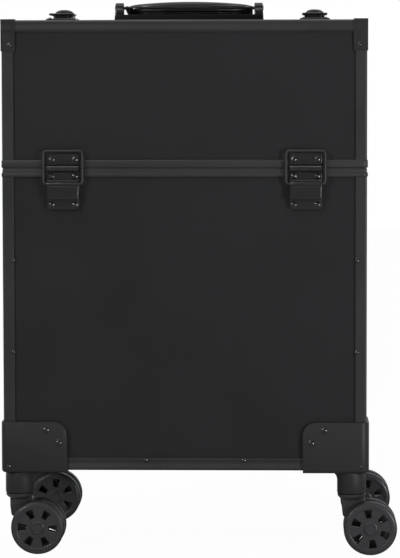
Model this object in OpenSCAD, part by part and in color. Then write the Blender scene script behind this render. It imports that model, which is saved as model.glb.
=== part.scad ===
// Rolling makeup case: a hard case on four swivel castors, with two half lids that open outwards.
// Millimetres, +Z up. The origin lies on the floor under the middle of the case, and the front faces -Y.

/* [Case] */
// Width of the case, side to side
case_w = 340; // [320:1:420]
// Depth of the case, front to back
case_d = 230; // [226:1:300]
// Height of the lower case, from its underside to the lid seam
lower_h = 283; // [250:1:380]
// Height of the half lids above the seam
lid_h = 138; // [134:1:180]
// Gap between the lower case and the lids
seam_gap = 1; // [0.6:0.1:2]
// Gap between the two half lids
split_gap = 0.8; // [0.6:0.1:2]

/* [Panels and profiles] */
// Thickness of the panels
panel_t = 4; // [3:0.5:5]
// Width of the edge profiles' faces
profile_w = 12; // [10:0.5:16]
// Thickness of the edge profiles, which is how far the panels lie back
profile_t = 2; // [1.8:0.1:2.5]
// Rounding of the outer edges
edge_r = 5; // [3:0.5:6]
// Height of the rim profiles along the seam and the split
rim_h = 7.5; // [6:0.5:8]
// How far the rims stand out from the edge profiles
rim_proud = 0.8; // [0.4:0.1:1.2]
// Lip of the rims inside the panels
rim_lip = 1; // [0.5:0.1:1.5]
// Height of the corner caps on the lids
cap_h = 29; // [24:1:40]
// Thickness of the corner caps
cap_t = 0.8; // [0.6:0.1:1.2]

/* [Corner brackets] */
// Length of the bottom brackets along the front and the ends
bracket_l = 62; // [54:1:70]
// Height of the bottom brackets
bracket_h = 48; // [40:1:60]
// Thickness of the bottom brackets
bracket_t = 2.4; // [2:0.1:3]
// Rounding of the brackets' inner top corners
bracket_r = 12; // [8:1:16]

/* [Castors] */
// Diameter of the wheels
wheel_d = 50; // [44:1:54]
// Width of one wheel of a pair
wheel_w = 13; // [11:0.5:14]
// Gap between the wheels of a pair, where the fork's web runs
wheel_pair_gap = 10; // [9:0.5:12]
// Distance from the swivel axis to the axle
castor_trail = 17.5; // [14:0.5:20]
// Height from the floor to the castor housing's foot
fork_top = 57; // [56:0.5:62]
// Height of the castor housings
housing_h = 20; // [16:1:26]
// Diameter of the castor housings
housing_d = 27; // [24:1:30]
// Distance from the case's sides to the swivel axes
castor_inset = 13.8; // [13.6:0.1:20]
// Diameter of the axles
axle_d = 6; // [5:0.5:7]
// Diameter of the swivel stems
stem_d = 10; // [8:0.5:12]

/* [Stop hinges] */
// Distance from the middle of the case to each hinge
hinge_x = 113; // [90:1:120]
// Width of the leaves
leaf_w = 30; // [26:1:34]
// Thickness of the leaves
leaf_t = 1.8; // [1.4:0.1:2]
// Height of the lid leaves above the seam
leaf_up = 14; // [13:0.5:14.5]
// Reach of the lower leaves below the seam
leaf_down = 38; // [36:0.5:44]
// Diameter of the hinge knuckles
knuckle_d = 6; // [5.6:0.1:6.6]
// Diameter of the hinge pins
pin_d = 3; // [2.4:0.1:3.4]
// Width of the limiter rings over all
ring_w = 39; // [38:0.5:44]
// Distance between the limiter rings' two bars
ring_l = 31; // [31:0.5:34]
// Depth of the limiter rings' pivots below the seam
ring_drop = 14.5; // [14:0.5:16]
// Diameter of the limiter rings' wire
ring_wire = 2.6; // [2.2:0.1:2.8]

/* [Latches] */
// Distance from the middle of the case to each latch
latch_x = 122; // [108:1:130]
// Width of the latch bases and keepers
latch_w = 29; // [27:1:34]
// Width of the levers between their lugs
lever_w = 15; // [12:0.5:15.5]
// Width of the levers' domed paddles
paddle_w = 20; // [16:0.5:20]
// Length of the levers behind their pivots
lever_l = 24; // [18:1:30]
// Diameter of the bail wire
bail_wire = 2; // [1.6:0.1:2.2]

/* [Carry handle] */
// Length of the carry grip
grip_l = 121; // [100:1:130]
// Thickness of the carry grip at its middle
grip_t = 14.5; // [12:0.5:16]
// Depth of the carry grip, front to back
grip_d = 15; // [12:0.5:18]
// Distance from the carry handle's pivots to the grip's middle
grip_reach = 34; // [28:1:40]
// Width of the carry handle's end brackets
ear_w = 8; // [6:0.5:10]
// Height of the carry handle's end brackets
ear_h = 19.5; // [18.5:0.5:22]

/* [Trays] */
// Height of each tray
tray_h = 42; // [30:1:43]
// Height of the lower trays' undersides above the seam
tray_lift = 22; // [21:0.5:24]
// Gap between the stacked trays
tray_gap = 8; // [6:0.5:9]
// Wall of the trays
tray_wall = 2; // [1.5:0.1:3]
// Width of the tray arms
arm_w = 10; // [8:0.5:11]
// Thickness of the tray arms
arm_t = 2; // [1.5:0.1:2.4]
// Distance from the trays' inner edges to their inner pivots
pivot_in = 5.2; // [5:0.1:7]
// Depth of the arms' pivots below the seam
arm_drop = 12; // [12:0.5:16]

/* [Pull handle] */
// Distance from the middle of the case to each tube
tube_x = 55; // [45:1:62]
// Diameter of the outer tubes
tube_d = 16; // [15:0.5:18]
// Wall of the tubes
tube_wall = 1.2; // [1:0.1:1.4]
// Height of the pull grip
pull_grip_h = 22; // [18:1:26]
// Depth of the pull grip
pull_grip_d = 20; // [18:1:24]

/* [Hidden] */
$fn = 64;
cut = 1;
run = 0.05;
slide = 0.08;
gap = 0.3;
play = 0.1;
sides = [-1, 1];

// Levels and faces of the case
housing_z = fork_top;
plate_z = housing_z + housing_h;
case_z = plate_z + bracket_t;
seam_z = case_z + lower_h;
top_z = seam_z + lid_h;
case_h = lower_h + lid_h;
skin = profile_t + panel_t;
rim_in = skin + rim_lip;
lower_rim_z = seam_z - seam_gap / 2 - rim_h;
lid_rim_z = seam_z + seam_gap / 2 + rim_h;
split_y = split_gap / 2 + rim_h;
front_y = -case_d / 2;
rim_y = front_y - rim_proud;
panel_y = front_y + profile_t;
deck_z = top_z - profile_t;

// Rivets and screws
rivet_d = 6;
rivet_h = 1.6;
small_rivet_d = 4.4;
small_rivet_h = 1.2;
screw_d = 6.6;
screw_h = 1.8;
strip_mid = profile_w - 0.6 * small_rivet_d;
panel_rivet_z = [for (k = [0.392, 0.696]) case_z + k * lower_h];
strip_rivet_x = [for (k = [-0.109, 0.162]) k * case_w];
strip_rivet_z = case_z + strip_mid;
cap_rivet_x = case_w / 2 - strip_mid + small_rivet_d / 2;
cap_rivet_z = top_z - cap_h + 1.3 * small_rivet_d;
screw_in = 8;
screw_far = 20;
bracket_screws = [[-screw_far, -screw_in], [-screw_in, -screw_far]];

// Hinges
hinge_back = rim_y - gap - play;
hinge_y = hinge_back - knuckle_d / 2;
knuckle_gap = 0.3;
knuckle_l = leaf_w / 3;
mid_knuckle = knuckle_l / 2 - knuckle_gap;
leaf_edge = knuckle_d / 2 + gap;
leg_in = 0.5;
leg_w = leaf_w - 2 * leg_in;
leg_wall = 1.2;
leg_top = ring_drop - ring_wire / 2 - leg_wall;
leg_l = 14;
leg_foot = ring_drop + leg_l;
hinge_rivet_x = 11;
hinge_rivet_up = 9.4;
hinge_rivet_mid = 7.4;
hinge_rivet_edge = 4.2;
hinge_rivet_low = leaf_down - hinge_rivet_edge;

// Castors
castor_x = case_w / 2 - castor_inset;
castor_y = case_d / 2 - castor_inset;
axle_z = wheel_d / 2;
wheel_clear = 1;
axle_end = wheel_pair_gap / 2 + wheel_w + play;
web_t = wheel_pair_gap - 2 * wheel_clear;
hub_wall = 3.4;
cap_rim = 2.4;
tyre_h = 5.5;
web_back = 1.2;
hub_r = axle_d / 2 + hub_wall;
cap_r = axle_d / 2 + cap_rim;
rim_inner_r = wheel_d / 2 - tyre_h;
wheel_web_t = wheel_w - 2 * web_back;
window_n = 6;
hub_ring = 3.6;
rim_ring = 1;
window_in = hub_r + hub_ring;
window_out = rim_inner_r - rim_ring;
window_half = 11.5;
tyre_round = 3;
tyre_r = wheel_d / 2 - tyre_round;
wheel_turn = [[0, 38], [20, 50]];
fork_disc_h = 5.5;
housing_wall = 2;
housing_roof = 4;
leg_half = housing_d / 2 - housing_wall;
stem_up = housing_h - housing_roof;
fork_heel = [castor_trail - hub_r / 2, axle_z - 0.8 * hub_r];
fork_knee = [-0.7 * leg_half, (fork_top + axle_z) / 2];

// Latches
latch_plate = 3.6;
latch_ends = 5;
latch_base_l = lever_l + 2 * latch_ends;
lever_h = 9;
lever_pin_d = 3;
lever_nose = 2.5;
lever_pivot_y = split_y + latch_ends;
lever_pivot_z = top_z + latch_plate + gap + lever_nose;
lug_t = 2;
lug_r = 3;
lug_x = lever_w / 2 + gap;
lever_round = 5;
paddle_y = lever_pivot_y + lug_r + gap;
dome_r = 0.6 * paddle_w;
bail_pivot = [8, 1.4];
bail_pivot_y = lever_pivot_y + bail_pivot[0];
bail_pivot_z = lever_pivot_z + bail_pivot[1];
bail_clear = 0.5;
bail_w = 2 * (lug_x + lug_t + bail_wire + bail_clear);
keeper_back = 3.5;
keeper_y = -split_y - keeper_back;
keeper_l = 12;
keeper_lip_w = 13;
keeper_lip_t = 2.4;
keeper_lip_up = 1.2;
keeper_lip_z = bail_pivot_z + keeper_lip_up;
bail_bar_y = keeper_y - keeper_lip_t - bail_wire / 2 - 2 * play;

// Carry handle
handle_back = 12;
handle_up = 14.4;
ear_gap = 3;
handle_y = split_y + handle_back;
handle_z = top_z + handle_up;
ear_x = grip_l / 2 + ear_gap;
ear_d = 18;
ear_foot = 8;
handle_pin_d = 5;
bow_arm_w = 9;
bow_arm_r = 4;
grip_arch = 3.2;
grip_round = 7;
ear_r = ear_h - handle_up;
ear_flare = 1.5;
grip_arch_r = (pow(grip_l / 2, 2) + pow(grip_arch, 2)) / (2 * grip_arch);
groove_w = 1.2;
groove_deep = 0.8;
groove_z = [-3.5, 0];

// Trays and arms, for the front half
room_x = case_w / 2 - skin;
arm_room = 3.6;
arm_clear = 1;
tray_back = 3;
arm_back = 16;
arm_x = room_x - arm_room - arm_t;
tray_x = arm_x - arm_clear;
tray_out_y = front_y + skin + tray_back;
tray_in_y = -2;
pivot_up = 10;
tray_z = [seam_z + tray_lift, seam_z + tray_lift + tray_h + tray_gap];
arm_z = seam_z - arm_drop;
arm_pitch = 20;
arm_y = front_y + skin + arm_back;
arm_ys = [arm_y, arm_y + arm_pitch];
arm_lean = atan((tray_in_y - pivot_in - arm_ys[1]) / (tray_z[1] + pivot_up - arm_z));
arm_len = [for (z = tray_z) (z + pivot_up - arm_z) / cos(arm_lean)];
stud_d = 4;
stud_x = arm_x + arm_t + arm_clear;
stud_head = 0.6;
stud_collar_d = 8;
divider_n = [1, 2];

// Pull handle
pull_grip_room = 36;
pull_grip_gap = 6;
pull_grip_end = 13;
pull_grip_back = 1.2;
tube_y = case_d / 2 + rim_proud + pull_grip_d / 2 + pull_grip_back;
tube_z = case_z + profile_w;
tube_top = lower_rim_z - pull_grip_room;
tube_bore = tube_d - 2 * tube_wall;
mid_d = tube_bore - 2 * slide;
mid_bore = mid_d - 2 * tube_wall;
inner_d = mid_bore - 2 * slide;
tube_stop = 4;
mount_h = 16;
mount_w = 24;
pull_grip_z = tube_top + pull_grip_gap;
pull_grip_w = 2 * tube_x + 2 * pull_grip_end;
button_w = 24;
button_d = 9;
button_h = 8;
button_up = 3.5;
collar_h = 4;

trim = "#232427";
black = "#1a1b1e";
black_steel = "#2a2b2e";
steel = "#b9bcc0";
rubber = "#202124";

// Shapes that are shared

// A rectangle about the origin with round corners.
module round_rect(w, h, r) {
  square([w - 2 * r, h], center = true);
  square([w, h - 2 * r], center = true);
  for (x = sides, y = sides) translate([x * (w / 2 - r), y * (h / 2 - r)]) circle(r);
}

// A box that stands on z, with all its edges round.
module soft_block(w, d, h, r, z) {
  translate([0, 0, z]) intersection() {
    linear_extrude(h) round_rect(w, d, r);
    translate([0, d / 2, h / 2]) rotate([90, 0, 0]) linear_extrude(d) round_rect(w, h, r);
    translate([-w / 2, 0, h / 2]) rotate([90, 0, 90]) linear_extrude(w) round_rect(d, h, r);
  }
}

// The case's outer surface, stood off by some amount.
module case_block(off) {
  soft_block(case_w + 2 * off, case_d + 2 * off, case_h + 2 * off, edge_r + off, case_z - off);
}

// A box between two corners.
module box(a, b) {
  translate(a) cube(b - a);
}

// A round bar along X between two places.
module bar_x(x0, x1, d) {
  translate([x0, 0, 0]) rotate([0, 90, 0]) cylinder(h = x1 - x0, d = d);
}

// A domed head on the XY plane.
module dome(d, h) {
  r = (d * d / 4 + h * h) / (2 * h);
  rotate_extrude() intersection() {
    translate([0, h - r]) circle(r);
    square([d / 2, h]);
  }
}

// A domed head on a wall that faces -Y.
module wall_dome(x, y, z, d, h) {
  translate([x, y, z]) rotate([90, 0, 0]) dome(d, h);
}

module left_and_right() {
  children();
  mirror([1, 0, 0]) children();
}

module front_and_rear() {
  children();
  mirror([0, 1, 0]) children();
}

// Edge frames, rims and panels

// Everything between the edge profiles: the panels' openings and the hollow behind them.
module frame_openings() {
  w = case_w - 2 * profile_w;
  d = case_d - 2 * profile_w;
  h = case_h - 2 * profile_w;
  mid = case_z + case_h / 2;
  translate([0, 0, mid]) {
    cube([case_w - 2 * profile_t, case_d - 2 * profile_t, case_h - 2 * profile_t], center = true);
    cube([w, case_d + 2 * cut, h], center = true);
    cube([case_w + 2 * cut, d, h], center = true);
    cube([w, d, case_h + 2 * cut], center = true);
  }
}

module lower_zone(z_end) {
  box([-case_w, -case_d, 0], [case_w, case_d, z_end]);
}

// The front lid's side of the case, from a level up and from a plane forwards.
module lid_zone(y_end, z_start) {
  box([-case_w, -case_d, z_start], [case_w, -y_end, top_z + lid_h]);
}

// The rim profile's ring, before it is cut to the seam or the split.
module rim_shell() {
  difference() {
    case_block(rim_proud);
    translate([0, 0, case_z + case_h / 2])
      cube([case_w - 2 * rim_in, case_d - 2 * rim_in, case_h - 2 * rim_in], center = true);
  }
}

module lid_edge_frame() {
  intersection() {
    difference() {
      case_block(0);
      frame_openings();
    }
    lid_zone(split_y, lid_rim_z);
  }
}

module lid_rim() {
  intersection() {
    rim_shell();
    union() {
      box([-case_w, -case_d, seam_z + seam_gap / 2], [case_w, -split_gap / 2, lid_rim_z]);
      box([-case_w, -split_y, seam_z + seam_gap / 2], [case_w, -split_gap / 2, top_z + lid_h]);
    }
  }
}

module wall_panel(z0, z1) {
  box([-case_w / 2 + profile_t, panel_y, z0], [case_w / 2 - profile_t, panel_y + panel_t, z1]);
}

module lid_panels() {
  wall_panel(lid_rim_z, deck_z);
  left_and_right()
    box([room_x, front_y + skin, lid_rim_z], [room_x + panel_t, -split_y, deck_z]);
  box([-room_x, front_y + skin, deck_z - panel_t], [room_x, -split_y, deck_z]);
}

module lid_corner_caps() {
  left_and_right() intersection() {
    difference() {
      case_block(cap_t);
      case_block(0);
    }
    box([case_w / 2 - profile_w, -case_d, top_z - cap_h],
        [case_w, front_y + profile_w, top_z + lid_h]);
  }
}

// Stop hinges

// The lid's leaf: a plate over the rim, padded out from the panel, and the middle knuckle.
module lid_leaf() {
  difference() {
    union() {
      box([-leaf_w / 2, rim_y - leaf_t, seam_z + leaf_edge], [leaf_w / 2, rim_y, seam_z + leaf_up]);
      box([-leaf_w / 2, rim_y - leaf_t, lid_rim_z], [leaf_w / 2, panel_y, seam_z + leaf_up]);
      translate([0, hinge_y, seam_z]) bar_x(-mid_knuckle, mid_knuckle, knuckle_d);
      box([-mid_knuckle, rim_y - leaf_t, seam_z],
          [mid_knuckle, hinge_back, seam_z + leaf_edge + cut]);
    }
    translate([0, hinge_y, seam_z]) bar_x(-leaf_w, leaf_w, pin_d + 2 * run);
  }
}

// The lower leaf: a plate with two knuckles, and the raised leg that the limiter ring turns in.
module lower_leaf() {
  difference() {
    union() {
      box([-leaf_w / 2, rim_y - leaf_t, seam_z - leaf_down], [leaf_w / 2, rim_y, seam_z - leaf_edge]);
      box([-leaf_w / 2, rim_y - leaf_t, seam_z - leaf_down], [leaf_w / 2, panel_y, lower_rim_z]);
      box([-leg_w / 2, hinge_y - ring_wire / 2 - leg_wall, seam_z - leg_foot],
          [leg_w / 2, rim_y, seam_z - leg_top]);
      left_and_right() {
        translate([0, hinge_y, seam_z]) bar_x(knuckle_l / 2 + knuckle_gap, leaf_w / 2, knuckle_d);
        box([knuckle_l / 2 + knuckle_gap, rim_y - leaf_t, seam_z - leaf_edge - cut],
            [leaf_w / 2, hinge_back, seam_z]);
      }
    }
    translate([0, hinge_y, seam_z]) bar_x(-leaf_w, leaf_w, pin_d + 2 * run);
    translate([0, hinge_y, seam_z - ring_drop]) bar_x(-leaf_w, leaf_w, ring_wire + 2 * run);
  }
}

// The limiter ring: a rectangle of wire with round corners.
module limiter_ring() {
  half = ring_w / 2 - ring_wire / 2;
  translate([0, hinge_y, seam_z - ring_drop]) {
    for (z = [0, ring_l]) translate([0, 0, z]) bar_x(-half, half, ring_wire);
    for (x = sides) {
      translate([x * half, 0, 0]) cylinder(h = ring_l, d = ring_wire);
      for (z = [0, ring_l]) translate([x * half, 0, z]) sphere(d = ring_wire);
    }
  }
}

module at_hinges() {
  for (x = sides) translate([x * hinge_x, 0, 0]) children();
}

// Castors

module wheel() {
  difference() {
    rotate_extrude() {
      translate([axle_d / 2 + run, -wheel_w / 2]) square([hub_r - axle_d / 2 - run, wheel_w]);
      translate([axle_d / 2 + run, -wheel_web_t / 2]) square([rim_inner_r - axle_d / 2, wheel_web_t]);
      translate([rim_inner_r, -wheel_w / 2]) square([tyre_r - rim_inner_r, wheel_w]);
      translate([rim_inner_r, -wheel_w / 2 + tyre_round])
        square([wheel_d / 2 - rim_inner_r, wheel_w - 2 * tyre_round]);
      for (y = sides) translate([tyre_r, y * (wheel_w / 2 - tyre_round)]) circle(tyre_round);
    }
    for (i = [0:window_n - 1]) rotate([0, 0, i * 360 / window_n])
      translate([0, 0, -wheel_w / 2]) linear_extrude(wheel_w) intersection() {
        difference() {
          circle(window_out);
          circle(window_in);
        }
        polygon([[0, 0], wheel_d * [cos(window_half), sin(window_half)],
                 wheel_d * [cos(window_half), -sin(window_half)]]);
      }
  }
}

// One wheel of the pair, on the axle's front or rear half.
module castor_wheel(side, turn) {
  translate([castor_trail, side * (wheel_pair_gap + wheel_w) / 2, axle_z]) rotate([90, 0, 0])
    rotate([0, 0, turn]) wheel();
}

// The fork turns in the housing, and its web runs down between the wheels to the axle.
module castor_fork() {
  disc_z = fork_top - gap - fork_disc_h;
  difference() {
    union() {
      translate([0, 0, disc_z]) cylinder(h = fork_disc_h, d = housing_d - 1);
      translate([0, 0, disc_z + cut]) cylinder(h = fork_disc_h + stem_up, d = stem_d - 2 * run);
      translate([0, web_t / 2, 0]) rotate([90, 0, 0]) linear_extrude(web_t) {
        translate([castor_trail, axle_z]) circle(hub_r);
        polygon([[-leg_half, disc_z + cut], [leg_half, disc_z + cut],
                 [castor_trail + hub_r, axle_z], fork_heel, fork_knee]);
      }
    }
    translate([castor_trail, 0, axle_z]) rotate([90, 0, 0])
      cylinder(h = 2 * web_t, d = axle_d + 2 * run, center = true);
  }
}

// The axle, with a domed cap outside each wheel.
module castor_axle() {
  translate([castor_trail, 0, axle_z]) rotate([90, 0, 0]) {
    cylinder(h = 2 * axle_end, d = axle_d, center = true);
    for (side = [0, 180]) rotate([side, 0, 0]) translate([0, 0, axle_end]) dome(2 * cap_r, rivet_h);
  }
}

module at_castor(x, y) {
  translate([x * castor_x, y * castor_y, 0]) children();
}

module fork_set() {
  castor_fork();
  castor_axle();
}

module castor_housing() {
  difference() {
    translate([0, 0, housing_z]) cylinder(h = housing_h, d = housing_d);
    translate([0, 0, housing_z - cut]) cylinder(h = stem_up + 2 * cut, d = stem_d);
  }
}

// Trays and arms

module tray(level) {
  z0 = tray_z[level];
  bays = divider_n[level] + 1;
  bay = (2 * tray_x - tray_wall * (bays + 1)) / bays;
  difference() {
    box([-tray_x, tray_out_y, z0], [tray_x, tray_in_y, z0 + tray_h]);
    for (i = [0:bays - 1])
      box([-tray_x + tray_wall + i * (bay + tray_wall), tray_out_y + tray_wall, z0 + tray_wall],
          [-tray_x + (i + 1) * (bay + tray_wall), tray_in_y - tray_wall, z0 + tray_h + cut]);
  }
  for (y = arm_ys, x = sides)
    translate([0, y + arm_len[level] * sin(arm_lean), z0 + pivot_up])
      bar_x(min(x * tray_x, x * stud_x), max(x * tray_x, x * stud_x), stud_d);
}

// A pair of flat arms, one at each end of the trays.
module tray_arms(y) {
  left_and_right() translate([arm_x, y, arm_z]) rotate([-arm_lean, 0, 0])
    rotate([90, 0, 90]) linear_extrude(arm_t) difference() {
      union() {
        translate([-arm_w / 2, 0]) square([arm_w, arm_len[1]]);
        circle(d = arm_w);
        translate([0, arm_len[1]]) circle(d = arm_w);
      }
      circle(d = stud_d + 2 * run);
      for (l = arm_len) translate([0, l]) circle(d = stud_d + 2 * run);
    }
}

module tray_studs() {
  left_and_right() for (y = arm_ys) translate([0, y, arm_z]) {
    bar_x(arm_x - stud_head, room_x, stud_d);
    bar_x(arm_x + arm_t + gap, room_x, stud_collar_d);
  }
}

// Latches

module latch_base() {
  box([-latch_w / 2, split_y, deck_z], [latch_w / 2, split_y + latch_base_l, top_z + latch_plate]);
  left_and_right() {
    box([lug_x, lever_pivot_y - lug_r, top_z], [lug_x + lug_t, lever_pivot_y + lug_r, lever_pivot_z]);
    translate([0, lever_pivot_y, lever_pivot_z]) bar_x(lug_x, lug_x + lug_t, 2 * lug_r);
  }
  translate([0, lever_pivot_y, lever_pivot_z])
    bar_x(-lug_x, lug_x, lever_pin_d);
}

module latch_lever() {
  z0 = lever_pivot_z - lever_nose;
  difference() {
    union() {
      translate([0, lever_pivot_y, lever_pivot_z]) bar_x(-lever_w / 2, lever_w / 2, 2 * lever_nose);
      intersection() {
        union() {
          box([-lever_w / 2, lever_pivot_y, z0], [lever_w / 2, paddle_y + cut, z0 + lever_h]);
          translate([0, (paddle_y + lever_pivot_y + lever_l) / 2, z0])
            linear_extrude(lever_h) round_rect(paddle_w, lever_l - paddle_y + lever_pivot_y, lever_round);
        }
        translate([0, 0, z0 + lever_h - dome_r]) rotate([-90, 0, 0]) cylinder(h = case_d, r = dome_r);
      }
    }
    translate([0, lever_pivot_y, lever_pivot_z]) bar_x(-case_w, case_w, lever_pin_d + 2 * run);
    translate([0, bail_pivot_y, bail_pivot_z]) bar_x(-case_w, case_w, bail_wire + 2 * run);
  }
}

// The bail: a loop of wire from the lever round the keeper's lip.
module latch_bail() {
  half = bail_w / 2 - bail_wire / 2;
  translate([0, 0, bail_pivot_z]) for (y = [bail_bar_y, bail_pivot_y]) {
    translate([0, y, 0]) bar_x(-half, half, bail_wire);
    for (x = sides) translate([x * half, y, 0]) sphere(d = bail_wire);
  }
  for (x = sides) translate([x * half, bail_bar_y, bail_pivot_z]) rotate([-90, 0, 0])
    cylinder(h = bail_pivot_y - bail_bar_y, d = bail_wire);
}

module latch_keeper() {
  box([-latch_w / 2, keeper_y - keeper_l, deck_z], [latch_w / 2, -split_y, top_z + latch_plate]);
  box([-keeper_lip_w / 2, keeper_y - keeper_lip_t, top_z], [keeper_lip_w / 2, keeper_y, keeper_lip_z]);
}

// Carry handle

// The base's cheek at one end: a tapered ear with the pivot pin.
module handle_cheek() {
  translate([ear_x, 0, 0]) rotate([90, 0, 90]) linear_extrude(ear_w) {
    polygon([[handle_y - ear_d / 2, top_z], [handle_y + ear_d / 2, top_z],
             [handle_y + ear_r, handle_z], [handle_y - ear_r, handle_z]]);
    translate([handle_y, handle_z]) circle(ear_r);
  }
  translate([0, handle_y, handle_z]) bar_x(ear_x - bow_arm_w, ear_x, handle_pin_d);
}

// A long plate on the deck that ends in the two cheeks.
module handle_base() {
  half = ear_x + ear_w + ear_flare;
  box([-half, handle_y - ear_d / 2, deck_z], [half, handle_y + ear_d / 2, top_z + ear_foot]);
  left_and_right() handle_cheek();
}

// The grip's front outline: an arched top with round shoulders.
module grip_outline() {
  intersection() {
    translate([0, grip_t / 2 - grip_arch_r]) circle(grip_arch_r, $fn = 200);
    square([grip_l, grip_t], center = true);
    union() {
      translate([-grip_l / 2, -grip_t / 2]) square([grip_l, grip_t - grip_round]);
      translate([grip_round - grip_l / 2, -grip_t / 2]) square([grip_l - 2 * grip_round, grip_t]);
      for (x = sides)
        translate([x * (grip_l / 2 - grip_round), grip_t / 2 - grip_round]) circle(grip_round);
    }
  }
}

// The bow: an arched, grooved grip with an arm at each end. It lies back on the deck at rest.
module carry_bow() {
  grip_y = handle_y + grip_reach;
  arm_x0 = grip_l / 2 - bow_arm_w;
  difference() {
    union() {
      translate([0, grip_y + grip_d / 2, handle_z]) rotate([90, 0, 0])
        linear_extrude(grip_d) grip_outline();
      left_and_right() {
        box([arm_x0, handle_y, handle_z - bow_arm_r], [grip_l / 2, grip_y, handle_z + bow_arm_r]);
        translate([0, handle_y, handle_z]) bar_x(arm_x0, grip_l / 2, 2 * bow_arm_r);
      }
    }
    left_and_right() translate([0, handle_y, handle_z])
      bar_x(arm_x0 - cut, grip_l, handle_pin_d + 2 * run);
    for (z = groove_z, y = sides) translate([0, grip_y + y * grip_d / 2, handle_z + z])
      cube([grip_l - 4 * grip_round, 2 * groove_deep, groove_w], center = true);
  }
}

// Pull handle

module at_tubes() {
  for (x = sides) translate([x * tube_x, tube_y, 0]) children();
}

module tube(z0, z1, d, wall) {
  translate([0, 0, z0]) difference() {
    cylinder(h = z1 - z0, d = d);
    translate([0, 0, -cut]) cylinder(h = z1 - z0 + 2 * cut, d = d - 2 * wall);
  }
}

// A mount between the back panel and a tube, bored for it.
module tube_mount(z0) {
  difference() {
    union() {
      translate([-mount_w / 2, -tube_y - panel_y, z0]) cube([mount_w, tube_y + panel_y, mount_h]);
      translate([0, 0, z0]) cylinder(h = mount_h, d = mount_w);
    }
    translate([0, 0, z0 - cut]) cylinder(h = mount_h + 2 * cut, d = tube_d);
  }
}

// Sub-parts of the lower case

module lower_front_panel() color(black) wall_panel(case_z + profile_t, lower_rim_z);

module lower_back_panel() color(black) mirror([0, 1, 0]) wall_panel(case_z + profile_t, lower_rim_z);

module lower_end_panels() color(black) left_and_right()
  box([room_x, front_y + skin, case_z + profile_t], [room_x + panel_t, -front_y - skin, lower_rim_z]);

module bottom_panel() color(black)
  box([-room_x, front_y + skin, case_z + profile_t], [room_x, -front_y - skin, case_z + skin]);

module lower_edge_frame() color(trim) intersection() {
  difference() {
    case_block(0);
    frame_openings();
  }
  lower_zone(lower_rim_z);
}

module lower_rim_frame() color(trim) intersection() {
  rim_shell();
  box([-case_w, -case_d, lower_rim_z], [case_w, case_d, seam_z - seam_gap / 2]);
}

// The outline of a bracket's face from the case's corner, with its inner top corner round.
module bracket_face(half) {
  translate([half - bracket_l + bracket_t, plate_z - cut]) {
    square([bracket_l + cut, bracket_h + cut - bracket_r]);
    translate([bracket_r, 0]) square([bracket_l + cut - bracket_r, bracket_h + cut]);
    translate([bracket_r, bracket_h + cut - bracket_r]) circle(bracket_r);
  }
}

module corner_brackets() color(trim) front_and_rear() left_and_right() intersection() {
  difference() {
    case_block(bracket_t);
    case_block(0);
  }
  translate([0, case_d, 0]) rotate([90, 0, 0]) linear_extrude(2 * case_d) bracket_face(case_w / 2);
  mirror([0, 1, 0]) rotate([90, 0, 90]) linear_extrude(case_w) bracket_face(case_d / 2);
}

module castor_housings() color(black) for (x = sides, y = sides) at_castor(x, y) castor_housing();

module lower_hinge_leaves() color(black_steel) front_and_rear() at_hinges() lower_leaf();

module hinge_pins() color(steel) front_and_rear() at_hinges()
  translate([0, hinge_y, seam_z]) bar_x(-leaf_w / 2, leaf_w / 2, pin_d);

module lower_case_rivets() color(black_steel) front_and_rear() {
  for (x = sides, z = panel_rivet_z)
    wall_dome(x * (case_w / 2 - strip_mid), front_y, z, small_rivet_d, small_rivet_h);
  for (x = strip_rivet_x) wall_dome(x, front_y, strip_rivet_z, small_rivet_d, small_rivet_h);
  at_hinges() for (x = sides) {
    wall_dome(x * hinge_rivet_x, rim_y - leaf_t, seam_z - hinge_rivet_low, rivet_d, rivet_h);
    wall_dome(x * hinge_rivet_x, rim_y - leaf_t, seam_z - hinge_rivet_mid, rivet_d, rivet_h);
  }
  left_and_right() for (s = bracket_screws)
    wall_dome(case_w / 2 + bracket_t - bracket_l - s[0], front_y - bracket_t,
              plate_z + bracket_h + s[1], screw_d, screw_h);
}

module tray_pivot_studs() color(steel) front_and_rear() tray_studs();

module pull_handle_outer_tubes() color(black_steel) at_tubes() tube(tube_z, tube_top, tube_d, tube_wall);

module pull_handle_mounts() color(black) at_tubes() {
  tube_mount(tube_z);
  tube_mount(tube_top - mount_h);
}

// Sub-parts of the lids

module front_lid_panels() color(black) lid_panels();

module front_lid_edge_frame() color(trim) lid_edge_frame();

module front_lid_rim_frame() color(trim) lid_rim();

module front_lid_corner_caps() color(trim) lid_corner_caps();

module front_lid_hinge_leaves() color(black_steel) at_hinges() lid_leaf();

module lid_rivets() {
  at_hinges() for (x = sides)
    wall_dome(x * hinge_rivet_x, rim_y - leaf_t, seam_z + hinge_rivet_up, rivet_d, rivet_h);
  for (x = sides) wall_dome(x * cap_rivet_x, front_y - cap_t, cap_rivet_z, small_rivet_d, small_rivet_h);
}

module front_lid_rivets() color(black_steel) lid_rivets();

module latch_keepers() color(black_steel) for (x = sides) translate([x * latch_x, 0, 0]) latch_keeper();

module rear_lid_panels() color(black) mirror([0, 1, 0]) lid_panels();

module rear_lid_edge_frame() color(trim) mirror([0, 1, 0]) lid_edge_frame();

module rear_lid_rim_frame() color(trim) mirror([0, 1, 0]) lid_rim();

module rear_lid_corner_caps() color(trim) mirror([0, 1, 0]) lid_corner_caps();

module rear_lid_hinge_leaves() color(black_steel) mirror([0, 1, 0]) at_hinges() lid_leaf();

module rear_lid_rivets() color(black_steel) mirror([0, 1, 0]) lid_rivets();

module latch_bases() color(black_steel) for (x = sides) translate([x * latch_x, 0, 0]) latch_base();

module carry_handle_base() color(black) handle_base();

// Moving sub-parts

module left_latch_lever() color(black_steel) translate([-latch_x, 0, 0]) latch_lever();

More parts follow.
